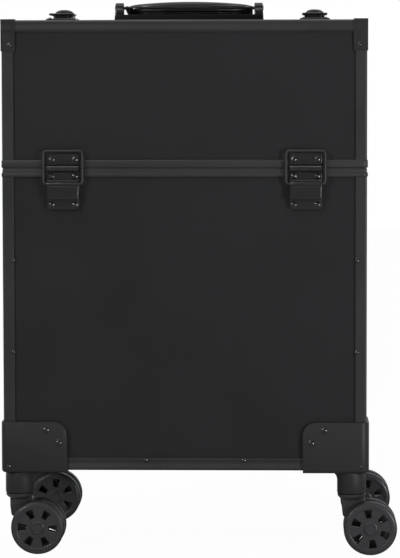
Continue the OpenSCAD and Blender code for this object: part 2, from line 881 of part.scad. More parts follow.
module left_latch_bail() color(black_steel) translate([-latch_x, 0, 0]) latch_bail();

module right_latch_lever() color(black_steel) translate([latch_x, 0, 0]) latch_lever();

module right_latch_bail() color(black_steel) translate([latch_x, 0, 0]) latch_bail();

module carry_handle_grip() color(rubber) carry_bow();

module front_hinge_rings() color(black_steel) at_hinges() limiter_ring();

module rear_hinge_rings() color(black_steel) mirror([0, 1, 0]) at_hinges() limiter_ring();

module front_tray_outer_arms() color(steel) tray_arms(arm_ys[0]);

module front_tray_inner_arms() color(steel) tray_arms(arm_ys[1]);

module front_lower_tray() color(rubber) tray(0);

module front_upper_tray() color(rubber) tray(1);

module rear_tray_outer_arms() color(steel) mirror([0, 1, 0]) tray_arms(arm_ys[0]);

module rear_tray_inner_arms() color(steel) mirror([0, 1, 0]) tray_arms(arm_ys[1]);

module rear_lower_tray() color(rubber) mirror([0, 1, 0]) tray(0);

module rear_upper_tray() color(rubber) mirror([0, 1, 0]) tray(1);

module front_left_castor_fork() color(black) at_castor(-1, -1) fork_set();

module front_left_outer_wheel() color(rubber) at_castor(-1, -1)
  castor_wheel(-1, wheel_turn[0][0]);

module front_left_inner_wheel() color(rubber) at_castor(-1, -1)
  castor_wheel(1, wheel_turn[0][0]);

module front_right_castor_fork() color(black) at_castor(1, -1) fork_set();

module front_right_outer_wheel() color(rubber) at_castor(1, -1)
  castor_wheel(-1, wheel_turn[0][1]);

module front_right_inner_wheel() color(rubber) at_castor(1, -1)
  castor_wheel(1, wheel_turn[0][1]);

module rear_left_castor_fork() color(black) at_castor(-1, 1) fork_set();

module rear_left_outer_wheel() color(rubber) at_castor(-1, 1)
  castor_wheel(1, wheel_turn[1][0]);

module rear_left_inner_wheel() color(rubber) at_castor(-1, 1)
  castor_wheel(-1, wheel_turn[1][0]);

module rear_right_castor_fork() color(black) at_castor(1, 1) fork_set();

module rear_right_outer_wheel() color(rubber) at_castor(1, 1)
  castor_wheel(1, wheel_turn[1][1]);

module rear_right_inner_wheel() color(rubber) at_castor(1, 1)
  castor_wheel(-1, wheel_turn[1][1]);

module pull_handle_middle_tubes() color(black_steel) at_tubes() {
  tube(tube_z + tube_stop, tube_top + collar_h / 2, mid_d, tube_wall);
}

module pull_handle_inner_tubes() color(black_steel) at_tubes() {
  tube(tube_z + 2 * tube_stop, pull_grip_z + collar_h, inner_d, tube_wall);
}

// The grip closes over the inner tubes' ends and holds the release button in its top.
module pull_handle_grip() color(black) difference() {
  translate([0, tube_y, pull_grip_z]) linear_extrude(pull_grip_h)
    round_rect(pull_grip_w, pull_grip_d, pull_grip_d / 3);
  at_tubes() translate([0, 0, pull_grip_z - cut]) cylinder(h = collar_h + cut, d = inner_d);
  translate([0, tube_y, pull_grip_z + pull_grip_h - button_h + button_up / 2])
    linear_extrude(button_h) round_rect(button_w, button_d, button_d / 3);
}

module pull_handle_button() color(rubber)
  translate([0, tube_y, pull_grip_z + pull_grip_h - button_h + button_up + gap])
    linear_extrude(button_h) round_rect(button_w - 2 * gap, button_d - 2 * gap, button_d / 3 - gap);

lower_front_panel();
lower_back_panel();
lower_end_panels();
bottom_panel();
lower_edge_frame();
lower_rim_frame();
corner_brackets();
castor_housings();
lower_hinge_leaves();
hinge_pins();
lower_case_rivets();
tray_pivot_studs();
pull_handle_outer_tubes();
pull_handle_mounts();
front_lid_panels();
front_lid_edge_frame();
front_lid_rim_frame();
front_lid_corner_caps();
front_lid_hinge_leaves();
front_lid_rivets();
latch_keepers();
rear_lid_panels();
rear_lid_edge_frame();
rear_lid_rim_frame();
rear_lid_corner_caps();
rear_lid_hinge_leaves();
rear_lid_rivets();
latch_bases();
carry_handle_base();
left_latch_lever();
left_latch_bail();
right_latch_lever();
right_latch_bail();
carry_handle_grip();
front_hinge_rings();
rear_hinge_rings();
front_tray_outer_arms();
front_tray_inner_arms();
front_lower_tray();
front_upper_tray();
rear_tray_outer_arms();
rear_tray_inner_arms();
rear_lower_tray();
rear_upper_tray();
front_left_castor_fork();
front_left_outer_wheel();
front_left_inner_wheel();
front_right_castor_fork();
front_right_outer_wheel();
front_right_inner_wheel();
rear_left_castor_fork();
rear_left_outer_wheel();
rear_left_inner_wheel();
rear_right_castor_fork();
rear_right_outer_wheel();
rear_right_inner_wheel();
pull_handle_middle_tubes();
pull_handle_inner_tubes();
pull_handle_grip();
pull_handle_button();
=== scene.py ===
# %% [markdown]
# # A rolling makeup case
# A black hard case on four castors: a lower case, two half lids that swing out to the front and the
# rear, trays inside, a carry handle on top and a pull handle at the back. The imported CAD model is
# loaded first and never moved, so it is the frame that every piece below is measured from.

# %% Load the frame
import bpy
import numpy as np
from mathutils import Matrix, Vector


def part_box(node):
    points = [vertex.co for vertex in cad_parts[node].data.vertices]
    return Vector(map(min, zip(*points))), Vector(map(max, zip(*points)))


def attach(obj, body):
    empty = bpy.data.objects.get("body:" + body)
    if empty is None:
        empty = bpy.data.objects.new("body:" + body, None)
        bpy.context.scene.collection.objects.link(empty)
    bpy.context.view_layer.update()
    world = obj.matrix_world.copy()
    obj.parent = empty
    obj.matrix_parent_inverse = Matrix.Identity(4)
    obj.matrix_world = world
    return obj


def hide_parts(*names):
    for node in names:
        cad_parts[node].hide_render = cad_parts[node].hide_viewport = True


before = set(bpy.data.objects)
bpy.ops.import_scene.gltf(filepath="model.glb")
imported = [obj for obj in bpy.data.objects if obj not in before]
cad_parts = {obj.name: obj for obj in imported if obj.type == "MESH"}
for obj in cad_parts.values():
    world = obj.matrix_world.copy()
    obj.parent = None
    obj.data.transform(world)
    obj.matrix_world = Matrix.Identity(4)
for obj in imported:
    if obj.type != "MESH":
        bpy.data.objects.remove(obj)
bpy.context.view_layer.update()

# %% [markdown]
# The photograph was taken from far off with a long lens, a little to the right of the case and just
# above its seam. A camera can be placed by eye or by dragging it in the viewport; here its place, its
# turn and its lens come from fitting the case's corners, hinges and wheels to the picture, so that
# one can lay the render over the photograph.

# %% Camera
PICTURE_W = 400
FOCAL_PX = 2833.0
yaw, pitch, roll = np.radians([-1.921, -3.856, -0.113])
right = np.array([np.cos(yaw), -np.sin(yaw), 0])
ahead = np.array([np.sin(yaw) * np.cos(pitch), np.cos(yaw) * np.cos(pitch), np.sin(pitch)])
up = np.cross(right, ahead)
pose = np.eye(4)
pose[:3, 0] = right * np.cos(roll) + up * np.sin(roll)
pose[:3, 1] = up * np.cos(roll) - right * np.sin(roll)
pose[:3, 2] = -ahead
pose[:3, 3] = [0.1029, -2.75, 0.4370]
camera = bpy.data.objects.new("camera", bpy.data.cameras.new("camera"))
camera.data.sensor_fit = "HORIZONTAL"
camera.data.sensor_width = 36
camera.data.lens = FOCAL_PX / PICTURE_W * 36
camera.matrix_world = Matrix(pose.tolist())
bpy.context.collection.objects.link(camera)
bpy.context.scene.camera = camera
print("lens", round(camera.data.lens, 1), "mm")

# %% [markdown]
# The studio is white all round. The world is white to the camera, but weaker as light and in
# reflections, and weakest on the camera's side, so that black gloss stays black. The strength follows
# the direction's Y: it is 0.15 in front of the case and 0.85 behind it.

# %% World
scene = bpy.context.scene
scene.view_settings.view_transform = "Standard"


def node(tree, kind, **sockets):
    """A shader node with some of its sockets set; a name's underscores stand for spaces."""
    made = tree.nodes.new(kind)
    for name, value in sockets.items():
        made.inputs[name.replace("_", " ")].default_value = value
    return made


world = bpy.data.worlds.new("studio")
world.use_nodes = True
scene.world = world
tree = world.node_tree
tree.nodes.clear()
path = tree.nodes.new("ShaderNodeLightPath")
seen = tree.nodes.new("ShaderNodeMath")
seen.operation = "MAXIMUM"
tree.links.new(path.outputs["Is Camera Ray"], seen.inputs[0])
tree.links.new(path.outputs["Is Transmission Ray"], seen.inputs[1])
shown = node(tree, "ShaderNodeBackground", Color=(1, 1, 1, 1), Strength=1.0)
lit = node(tree, "ShaderNodeBackground", Color=(0.96, 0.98, 1, 1))
toward = tree.nodes.new("ShaderNodeTexCoord")
parts = tree.nodes.new("ShaderNodeSeparateXYZ")
tree.links.new(toward.outputs["Generated"], parts.inputs[0])
depth = node(tree, "ShaderNodeMapRange", From_Min=-0.35, From_Max=0.35, To_Min=0.15, To_Max=0.85)
tree.links.new(parts.outputs["Y"], depth.inputs["Value"])
tree.links.new(depth.outputs["Result"], lit.inputs["Strength"])
mix = tree.nodes.new("ShaderNodeMixShader")
out = tree.nodes.new("ShaderNodeOutputWorld")
tree.links.new(seen.outputs[0], mix.inputs[0])
tree.links.new(lit.outputs[0], mix.inputs[1])
tree.links.new(shown.outputs[0], mix.inputs[2])
tree.links.new(mix.outputs[0], out.inputs[0])
print("world", world.name)

# %% [markdown]
# One soft light stands on each side, which is why every rivet in the photograph shows two small
# highlights. A wide one above lights the top edges, and a small high one and a long low strip add the
# glints. An area light could be turned by hand; here it is turned to face a point on the case.

# %% Lamps
def softbox(name, place, target, width, height, power, colour):
    """A rectangle light at `place` that faces `target`, both in metres."""
    lamp = bpy.data.lights.new(name, "AREA")
    lamp.shape = "RECTANGLE"
    lamp.size, lamp.size_y, lamp.energy, lamp.color = width, height, power, colour
    obj = bpy.data.objects.new(name, lamp)
    turn = (Vector(target) - Vector(place)).to_track_quat("-Z", "Y")
    obj.matrix_world = Matrix.Translation(place) @ turn.to_matrix().to_4x4()
    bpy.context.collection.objects.link(obj)


softbox("softbox_left", (-1.4, -1.8, 1.25), (0, 0, 0.3), 0.26, 0.32, 14, (1, 0.99, 0.97))
softbox("softbox_right", (1.15, -1.3, 0.3), (0, 0, 0.3), 0.24, 0.28, 9.5, (0.96, 0.98, 1))
softbox("softbox_top", (0, -0.7, 2.3), (0, 0, 0.5), 2.0, 1.0, 9, (1, 1, 1))
softbox("spot_high", (-0.6, -1.2, 1.9), (0, 0, 0.5), 0.16, 0.16, 2.5, (1, 1, 1))
softbox("strip_front", (0, -2.5, 1.1), (0, 0, 0.35), 1.8, 0.05, 1.6, (1, 1, 1))

# %% [markdown]
# The floor mixes a diffuse white, which takes the shadow, with a white glow that only the camera sees.
# Reflections see it darker, so that the fittings' undersides stay black.

# %% Floor
floor_mesh = bpy.data.meshes.new("floor")
floor_mesh.from_pydata([(-6, -6, 0), (6, -6, 0), (6, 6, 0), (-6, 6, 0)], [], [(0, 1, 2, 3)])
floor = bpy.data.objects.new("floor", floor_mesh)
bpy.context.collection.objects.link(floor)
paper = bpy.data.materials.new("white_paper")
paper.use_nodes = True
tree = paper.node_tree
tree.nodes.clear()
path = tree.nodes.new("ShaderNodeLightPath")
seen = tree.nodes.new("ShaderNodeMath")
seen.operation = "MULTIPLY"
seen.inputs[1].default_value = 0.97
tree.links.new(path.outputs["Is Camera Ray"], seen.inputs[0])
matte = tree.nodes.new("ShaderNodeBsdfDiffuse")
dim = node(tree, "ShaderNodeMapRange", To_Min=0.9, To_Max=0.35)
tree.links.new(path.outputs["Is Glossy Ray"], dim.inputs["Value"])
tree.links.new(dim.outputs["Result"], matte.inputs["Color"])
glow = node(tree, "ShaderNodeEmission", Color=(1, 1, 1, 1), Strength=1.0)
mix = tree.nodes.new("ShaderNodeMixShader")
out = tree.nodes.new("ShaderNodeOutputMaterial")
tree.links.new(seen.outputs[0], mix.inputs[0])
tree.links.new(matte.outputs[0], mix.inputs[1])
tree.links.new(glow.outputs[0], mix.inputs[2])
tree.links.new(mix.outputs[0], out.inputs[0])
floor_mesh.materials.append(paper)
print("floor", len(floor_mesh.polygons), "face")

# %% [markdown]
# Nearly everything on this case is black, so the finishes differ in gloss and grain rather than in
# colour: a finely pebbled skin on the boards, satin paint on the aluminium profiles, gloss on the
# steel fittings, soft rubber on the tyres. One recipe makes them all. A slow noise, a hand's breadth
# across, shifts the colour and the roughness a little, as handling and uneven paint do, and a fine
# noise gives the grain as a bump. Both read the object's own coordinates, so the grain stays put
# when a lid opens.

# %% Finishes
def finish(name, colour, rough, grain, depth, drift=0.12, stretch=(1, 1, 1), cells=False, **sockets):
    """Principled surface. The fine texture has features `grain` mm wide and `depth` mm deep, stretched
    along an axis for brushed or extruded metal; `cells` swaps the noise for rounded pebbles. The slow
    noise takes the colour from (1 - drift) to (1 + drift) of itself and the roughness likewise."""
    made = bpy.data.materials.new(name)
    made.use_nodes = True
    tree = made.node_tree
    link = tree.links.new
    shader = tree.nodes["Principled BSDF"]
    for socket, value in sockets.items():
        shader.inputs[socket.replace("_", " ")].default_value = value
    place = tree.nodes.new("ShaderNodeTexCoord")
    slow = node(tree, "ShaderNodeTexNoise", Scale=14.0, Detail=3.0)
    link(place.outputs["Object"], slow.inputs["Vector"])
    ramp = tree.nodes.new("ShaderNodeValToRGB")
    ramp.color_ramp.elements[0].position, ramp.color_ramp.elements[1].position = 0.3, 0.7
    for element, share in zip(ramp.color_ramp.elements, (1 - drift, 1 + drift)):
        element.color = tuple(share * c for c in colour) + (1,)
    link(slow.outputs["Fac"], ramp.inputs["Fac"])
    link(ramp.outputs["Color"], shader.inputs["Base Color"])
    spread = node(tree, "ShaderNodeMapRange", From_Min=0.3, From_Max=0.7,
                  To_Min=rough * (1 - drift), To_Max=rough * (1 + drift))
    link(slow.outputs["Fac"], spread.inputs["Value"])
    link(spread.outputs["Result"], shader.inputs["Roughness"])
    along = node(tree, "ShaderNodeMapping", Scale=stretch)
    link(place.outputs["Object"], along.inputs["Vector"])
    kind = "ShaderNodeTexVoronoi" if cells else "ShaderNodeTexNoise"
    fine = node(tree, kind, Scale=1000.0 / grain)
    link(along.outputs["Vector"], fine.inputs["Vector"])
    bump = node(tree, "ShaderNodeBump", Strength=1.0, Distance=depth * 0.001)
    link(fine.outputs["Distance" if cells else "Fac"], bump.inputs["Height"])
    link(bump.outputs["Normal"], shader.inputs["Normal"])
    return made


# %% [markdown]
# The list below is the case's paint card. The glossiest fittings get very dark colours, because their
# reflections add light of their own.

# %% Paint card
skin_black = finish("pebbled_black_skin", (0.0102, 0.0104, 0.0115), 0.62, 0.7, 0.02, cells=True,
                    Specular_IOR_Level=0.3)
profile_black = finish("satin_black_profile", (0.017, 0.017, 0.018), 0.48, 0.6, 0.008)
fitting_black = finish("semi_gloss_black_steel", (0.0155, 0.0155, 0.0165), 0.24, 1.4, 0.01)
rivet_black = finish("gloss_black_rivets", (0.006, 0.006, 0.0065), 0.1, 3.0, 0.002, Specular_IOR_Level=0.9)
lever_black = finish("gloss_black_levers", (0.004, 0.004, 0.0043), 0.35, 3.0, 0.002,
                     Specular_IOR_Level=0.15)
housing_black = finish("moulded_black_housing", (0.0185, 0.0185, 0.0196), 0.5, 0.8, 0.01,
                       Specular_IOR_Level=0.35)
bracket_black = finish("painted_black_corners", (0.0152, 0.0152, 0.0163), 0.5, 0.8, 0.01,
                       Specular_IOR_Level=0.35)
# Very dark: a real black base, coloured darker still as painted shade for the shadow under the carry
# handle's bow.
shade_painted_black = finish("matt_black_base_painted_shade", (0.0045, 0.0045, 0.0048), 0.5, 0.8, 0.01, Specular_IOR_Level=0.2)
gloss_black = finish("gloss_black_moulding", (0.005, 0.005, 0.0054), 0.14, 3.0, 0.012,
                     Coat_Weight=0.4, Coat_Roughness=0.08)
tyre_rubber = finish("tyre_rubber", (0.019, 0.019, 0.0202), 0.55, 0.5, 0.02)
wheel_black = finish("moulded_wheel_black", (0.033, 0.033, 0.035), 0.3, 0.8, 0.012)
tube_black = finish("anodised_black_tube", (0.018, 0.018, 0.019), 0.3, 0.5, 0.006,
                    stretch=(1, 1, 0.04), Metallic=0.4)
tube_grey = finish("anodised_grey_tube", (0.33, 0.335, 0.345), 0.32, 0.5, 0.006,
                   stretch=(1, 1, 0.04), Metallic=1.0)
bright_steel = finish("zinc_steel", (0.5, 0.505, 0.51), 0.3, 0.6, 0.008, Metallic=1.0)
tray_black = finish("tray_black_moulding", (0.02, 0.02, 0.0212), 0.45, 0.6, 0.02, cells=True)
velvet_grey = finish("short_velvet_lining", (0.028, 0.028, 0.031), 0.9, 0.35, 0.06,
                     Sheen_Weight=0.5, Sheen_Roughness=0.4)
print("finishes", len([m for m in bpy.data.materials if m.use_nodes]))

# %% [markdown]
# A rigid fitting can be modelled by hand with extrusions and bevels. Here each one is worked out as
# numbers: a grid of points is filled by a formula, neighbours are joined into quads, and the ends are
# closed. Three formulas make almost everything: a plate with eased rims, a profile turned round an
# axis, and a profile carried along a path. Sizes are in millimetres until the mesh is made.

# %% Grids of points into closed shells
MM = 0.001
ACROSS = [(1, 2), (2, 0), (0, 1)]


def node_box(name):
    """A CAD node's lowest and highest corners, in millimetres."""
    low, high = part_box(name)
    return np.array(low) / MM, np.array(high) / MM


def skin(points, loop=False):
    """A closed shell over a grid of points (rows, columns, xyz). Each row closes on itself. With `loop`
    the last row joins the first; without it both end rows are filled. If the volume, the sum of
    a . (b x c) / 6 over all triangles, is negative, every face is turned over."""
    rows, columns = points.shape[:2]
    i, j = np.meshgrid(np.arange(rows if loop else rows - 1), np.arange(columns), indexing="ij")
    down, over = (i + 1) % rows, (j + 1) % columns
    corners = [i * columns + j, i * columns + over, down * columns + over, down * columns + j]
    quads = np.stack(corners, axis=-1).reshape(-1, 4)
    ends = [] if loop else [np.arange(columns)[::-1], np.arange(columns) + (rows - 1) * columns]
    flat = points.reshape(-1, 3)
    fans = [np.stack([np.full(columns - 2, e[0]), e[1:-1], e[2:]], axis=1) for e in ends]
    triangles = np.concatenate([quads[:, [0, 1, 2]], quads[:, [0, 2, 3]]] + fans)
    a, b, c = (flat[triangles[:, k]] for k in range(3))
    if np.sum(a * np.cross(b, c)) < 0:
        quads, ends = quads[:, ::-1], [e[::-1] for e in ends]
    return flat, quads, ends


def moved(shells, x=0, y=0, z=0):
    """Copies of the shells, shifted."""
    return [(p + np.array([x, y, z]), q, e) for p, q, e in shells]


def mirrored(shells, axis):
    """Copies of the shells on the other side of the plane through the origin, turned inside out so
    that their faces still point outwards."""
    flip = np.where(np.arange(3) == axis, -1.0, 1.0)
    return [(p * flip, q[:, ::-1], [k[::-1] for k in e]) for p, q, e in shells]


def both(shells, axis=0):
    """The shells and their mirror images."""
    return shells + mirrored(shells, axis)


def piece(name, shells, body, material, slot, *nodes, sharp=38):
    """One object from its shells, in metres, shaded smooth except at edges of more than `sharp`
    degrees. It rides on the body and stands for the CAD nodes, which it hides. The slot is not used."""
    first = np.cumsum([0] + [len(p) for p, q, e in shells])
    faces = np.concatenate([q + k for (p, q, e), k in zip(shells, first)]).tolist()
    faces += [(end + k).tolist() for (p, q, e), k in zip(shells, first) for end in e]
    mesh = bpy.data.meshes.new(name)
    mesh.from_pydata((np.concatenate([s[0] for s in shells]) * MM).tolist(), [], faces)
    mesh.shade_smooth()
    mesh.set_sharp_from_angle(angle=np.radians(sharp))
    mesh.materials.append(material)
    made = bpy.data.objects.new(name, mesh)
    bpy.context.collection.objects.link(made)
    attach(made, body)
    if nodes:
        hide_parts(*nodes)
    print(name, len(shells), "shells", len(faces), "faces")
    return made


# %% Plates, turned shapes and carried profiles
QUARTER = np.linspace(0, np.pi / 2, 6)


def round_rectangle(half_u, half_v, radius):
    """Points round a rectangle, one row for each set of sizes: at the angle t a point is its corner's
    centre plus radius * (cos t, sin t), and t runs once round the four corners."""
    sizes = np.broadcast_arrays(half_u, half_v, radius)
    half_u, half_v, radius = (np.asarray(k, float).reshape(-1, 1) for k in sizes)
    t = (QUARTER + np.arange(4)[:, None] * np.pi / 2).ravel()
    sign_u, sign_v = (np.repeat(k, len(QUARTER)) for k in ([1, -1, -1, 1], [1, 1, -1, -1]))
    u = sign_u * (half_u - radius) + radius * np.cos(t)
    v = sign_v * (half_v - radius) + radius * np.sin(t)
    return u, v


def plate(low, high, radius, ease, axis=2, crown=None):
    """A plate between two corners. Across `axis` its outline is a rounded rectangle; along it each rim
    is eased by a quarter circle: at the angle t the outline is ease * (1 - sin t) smaller and lies
    ease * (1 - cos t) inside the face. `crown` = (inset, drop) eases the high face by an ellipse."""
    low, high = np.asarray(low, float), np.asarray(high, float)
    a, b = ACROSS[axis]
    top_inset, top_drop = crown or (ease, ease)
    inset = np.concatenate([ease * (1 - np.sin(QUARTER)), top_inset * (1 - np.sin(QUARTER))[::-1]])
    level = np.concatenate([low[axis] + ease * (1 - np.cos(QUARTER)),
                            high[axis] - top_drop * (1 - np.cos(QUARTER))[::-1]])
    half, mid = (high - low) / 2, (low + high) / 2
    u, v = round_rectangle(half[a] - inset, half[b] - inset, np.maximum(radius - inset, 0.05))
    points = np.empty(u.shape + (3,))
    points[..., a], points[..., b], points[..., axis] = mid[a] + u, mid[b] + v, level[:, None]
    return skin(points)


def turned(profile, centre, axis, columns=40, loop=False):
    """A profile of (radius, height) carried once round an axis: centre + radius * (cos t, sin t)
    across the axis + height along it. With `loop` the profile itself closes, as in a tube."""
    profile = np.asarray(profile, float)
    a, b = ACROSS[axis]
    t = np.arange(columns) * 2 * np.pi / columns
    points = np.empty((len(profile), columns, 3))
    points[..., a] = centre[a] + profile[:, :1] * np.cos(t)
    points[..., b] = centre[b] + profile[:, :1] * np.sin(t)
    points[..., axis] = centre[axis] + profile[:, 1:]
    return skin(points, loop=loop)


def carried(profile, path, up, loop=False):
    """A profile carried along a flat path: its first number goes sideways, the path's direction
    crossed with `up`, and its second along `up`. At a bend the sideways step is divided by the
    cosine of half the turn, which mitres the corner."""
    profile, path, up = (np.asarray(k, float) for k in (profile, path, up))
    ahead = np.roll(path, -1, axis=0) - path
    ahead = ahead / np.linalg.norm(ahead, axis=1, keepdims=True)
    behind = np.roll(ahead, 1, axis=0)
    if not loop:
        ahead[-1], behind[0] = behind[-1], ahead[0]
    along = ahead + behind
    along = along / np.linalg.norm(along, axis=1, keepdims=True)
    side = np.cross(along, up) / np.sum(along * ahead, axis=1, keepdims=True)
    return skin(path[:, None] + profile[None, :, :1] * side[:, None] + profile[None, :, 1:] * up, loop)


def circle(radius, points=14):
    """Points round a circle: radius * (cos t, sin t)."""
    t = np.arange(points) * 2 * np.pi / points
    return radius * np.stack([np.cos(t), np.sin(t)], axis=1)


def rod(x0, x1, y, z, diameter, ease=0.4, axis=0):
    """A round bar along an axis with eased ends, turned from four (radius, length) pairs."""
    r = diameter / 2
    profile = [(r - ease, x0), (r, x0 + ease), (r, x1 - ease), (r - ease, x1)]
    centre = np.zeros(3)
    centre[ACROSS[axis][0]], centre[ACROSS[axis][1]] = y, z
    return turned(profile, centre, axis, 28)


def dome(centre, axis, facing, diameter, height):
    """A rivet's head, on the side that `facing` gives: part of a ball whose radius is
    ((d / 2) ** 2 + h ** 2) / 2 h, so that it meets the surface at the diameter d and rises by h."""
    ball = (diameter ** 2 / 4 + height ** 2) / (2 * height)
    t = np.linspace(np.arcsin(min(diameter / 2 / ball, 1)), 0.04, 8)
    radius = np.concatenate([[diameter / 2], ball * np.sin(t)])
    level = np.concatenate([[-0.2], height - ball * (1 - np.cos(t))])
    return turned(np.stack([radius, facing * level], axis=1), centre, axis, 24)


print("three formulas: plate, turned, carried")

# %% [markdown]
# A pressed steel bracket wraps each bottom corner and carries the castor. It is one sheet, 2.4 mm thick,
# bent round the case's upright and bottom edges. The section is drawn once, as insets and heights: down
# the wall, round the bottom edge, and back along the inner side. Then it is carried round the corner,
# and its top edge dips at both ends to make the round corners.

# %% Corner brackets
bracket_low, bracket_high = node_box("corner_brackets")
BRACKET_L, BRACKET_T, BRACKET_ROUND = 62.0, 2.4, 12.0
OUTER_X, OUTER_Y, BRACKET_Z = bracket_high[0], bracket_high[1], bracket_low[2]
BEND = 7.4
HEM = 3.0
RETURN = 14.0


def bracket_sheet():
    """One bracket for the corner at +X, +Y. s is the way along each wall from the sheet's end; there the
    top edge falls by round - sqrt(round ** 2 - (round - s) ** 2). A point d inside the outer faces lies
    on an outline d smaller whose corner radius is d tighter."""
    low = BRACKET_Z + HEM
    t = QUARTER
    top_part = [(BRACKET_T, 0), (0.7, 0), (0.2, -0.2), (0, -0.7)]
    outer = list(zip(HEM * (1 - np.cos(t)), low - HEM * np.sin(t)))
    inner_r = HEM - BRACKET_T
    inner = list(zip(HEM - inner_r * np.cos(t[::-1]), low - inner_r * np.sin(t[::-1])))
    under = [(RETURN, BRACKET_Z), (RETURN, BRACKET_Z + BRACKET_T)]
    inset, level = np.array(top_part + outer + under + inner).T
    on_top = (np.arange(len(inset)) < len(top_part))[:, None]
    s = BRACKET_ROUND * (1 - np.cos(np.linspace(0, np.pi / 2, 8)))
    dip = BRACKET_ROUND - np.sqrt(BRACKET_ROUND ** 2 - (BRACKET_ROUND - s) ** 2)
    radius = np.maximum(BEND - inset, 0.4)[:, None]
    centre_x = OUTER_X - inset[:, None] - radius
    centre_y = OUTER_Y - inset[:, None] - radius
    start_x, start_y = OUTER_X - BRACKET_L, OUTER_Y - BRACKET_L
    ones = np.ones_like(radius)
    wall_x = (OUTER_X - inset[:, None]) * np.ones(len(s))
    wall_y = (OUTER_Y - inset[:, None]) * np.ones(len(s))
    x = np.hstack([(start_x + s) * ones, centre_x + radius * np.sin(t), wall_x])
    y = np.hstack([wall_y, centre_y + radius * np.cos(t), (start_y + s[::-1]) * ones])
    fall = np.concatenate([dip, np.zeros(len(t)), dip[::-1]])
    z = np.where(on_top, bracket_high[2] + level[:, None] - fall, level[:, None] + 0 * fall)
    return skin(np.stack([x, y, z], axis=-1).swapaxes(0, 1))


under_plate = plate((OUTER_X - BRACKET_L, OUTER_Y - BRACKET_L, BRACKET_Z + 0.05),
                    (OUTER_X - BEND, OUTER_Y - BEND, BRACKET_Z + BRACKET_T - 0.05), 6, 0.5)
brackets = both(both([bracket_sheet(), under_plate]), 1)
piece("pressed_brackets", brackets, "lower_case", bracket_black, "gloss_black", "corner_brackets")

# %% [markdown]
# The boards have their right shape in the CAD model, so those nodes stay and only take a finish, the
# pebbled skin.

# %% Finishes for the CAD nodes that stay
def paint(material, *names):
    """Puts one finish on each of the named CAD nodes."""
    for name in names:
        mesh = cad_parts[name].data
        mesh.materials.clear()
        mesh.materials.append(material)


paint(skin_black, "lower_front_panel", "lower_back_panel", "lower_end_panels", "bottom_panel",
      "front_lid_panels", "rear_lid_panels")
print("painted", sum(1 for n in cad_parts.values() if n.data.materials))

# %% [markdown]
# Extruded aluminium angles run along every edge of the case, under satin paint. Their outer corner is
# not a quarter circle: along the top it is a flat ellipse, whose crown is seen at a glancing angle and
# mirrors the white room as one thin bright line. The face is not flat either: a shallow hollow and a
# low crest give it a light band. Each angle is an L-shaped section carried along a straight path; the
# ends run out under the caps, the brackets and the rims.

# %% Edge angles
CASE_X, CASE_Y = node_box("lower_edge_frame")[1][:2]
CASE_Z = node_box("lower_edge_frame")[0][2]
LOWER_TOP = node_box("lower_front_panel")[1][2]
LID_RIM_Z = node_box("front_lid_panels")[0][2]
TOP_Z = node_box("front_lid_edge_frame")[1][2]
LID_MID = node_box("front_lid_edge_frame")[1][1]
POST_W, RAIL_W, ANGLE_T, ANGLE_EDGE = 11.2, 12.0, 2.05, 0.2


def half_cosine(q, start, end):
    """A soft step from 0 at `start` to 1 at `end`: (1 - cos(pi * way)) / 2."""
    return (1 - np.cos(np.pi * np.clip((q - start) / (end - start), 0, 1))) / 2


def angle_section(wide, high, round_wide, round_high, taper, wave):
    """The L as (p, q), the insets from its two outer faces. The corner is the ellipse
    p = round_wide * (1 - cos t), q = round_high * (1 - sin t). `wave` gives a hollow and a crest on the
    first leg, as depth and place: half cosines lead from the corner's end into the hollow and from there
    up to the crest. The first leg past its crest, and the second over its last `taper` mm, thin out with
    the square of the way, so that they run onto the board without a step."""
    corner = np.stack([round_wide * (1 - np.cos(QUARTER)), round_high * (1 - np.sin(QUARTER))], axis=1)
    way = np.linspace(0, 1, 7)
    thin = (ANGLE_T - ANGLE_EDGE) * way ** 2
    hollow, hollow_at, crest, crest_at = wave
    q = np.concatenate([np.linspace(round_high, crest_at, 14)[1:], crest_at + (high - crest_at) * way[1:]])
    p = hollow * half_cosine(q, round_high, hollow_at)
    p -= (hollow + crest) * half_cosine(q, hollow_at, crest_at)
    p[-6:] += (ANGLE_T - ANGLE_EDGE + crest) * way[1:] ** 2
    first = np.stack([p, q], axis=1)[::-1]
    last = np.stack([wide - taper + taper * way, thin], axis=1)
    inside = [(wide, ANGLE_T), (ANGLE_T, ANGLE_T), (ANGLE_T, high)]
    return np.concatenate([first, corner, last, inside])


def angle(section, start, end, across, up):
    """One straight length of angle: p is measured against `across` and q against `up`."""
    path = np.array([start, end], float)
    section = section * [-1, -1]
    points = section[:, :1] * np.asarray(across, float) + section[:, 1:] * np.asarray(up, float)
    return skin(path[:, None] + points[None])


RAIL_WAVE, FOOT_WAVE, POST_WAVE = (0.5, 4.2, 0.25, 8.6), (0.8, 7.0, 0, 11.2), (0, 4.0, 0, 10.4)
rail = angle_section(RAIL_W, RAIL_W, 6.0, 2.0, 5.5, RAIL_WAVE)
foot = angle_section(RAIL_W, RAIL_W, 2.0, 2.0, 4.0, FOOT_WAVE)
post = angle_section(RAIL_W, POST_W, 1.6, 1.6, 3.2, POST_WAVE)[:, ::-1]
END = 5.0
FRONT, SIDE, UP, DOWN = (0, -1, 0), (1, 0, 0), (0, 0, 1), (0, 0, -1)
lid_angles = [
    angle(rail, (END - CASE_X, -CASE_Y, TOP_Z), (CASE_X - END, -CASE_Y, TOP_Z), FRONT, UP),
] + both([
    angle(rail, (CASE_X, END - CASE_Y, TOP_Z), (CASE_X, LID_MID, TOP_Z), SIDE, UP),
    angle(post, (CASE_X, -CASE_Y, LID_RIM_Z), (CASE_X, -CASE_Y, TOP_Z - END), SIDE, FRONT),
])
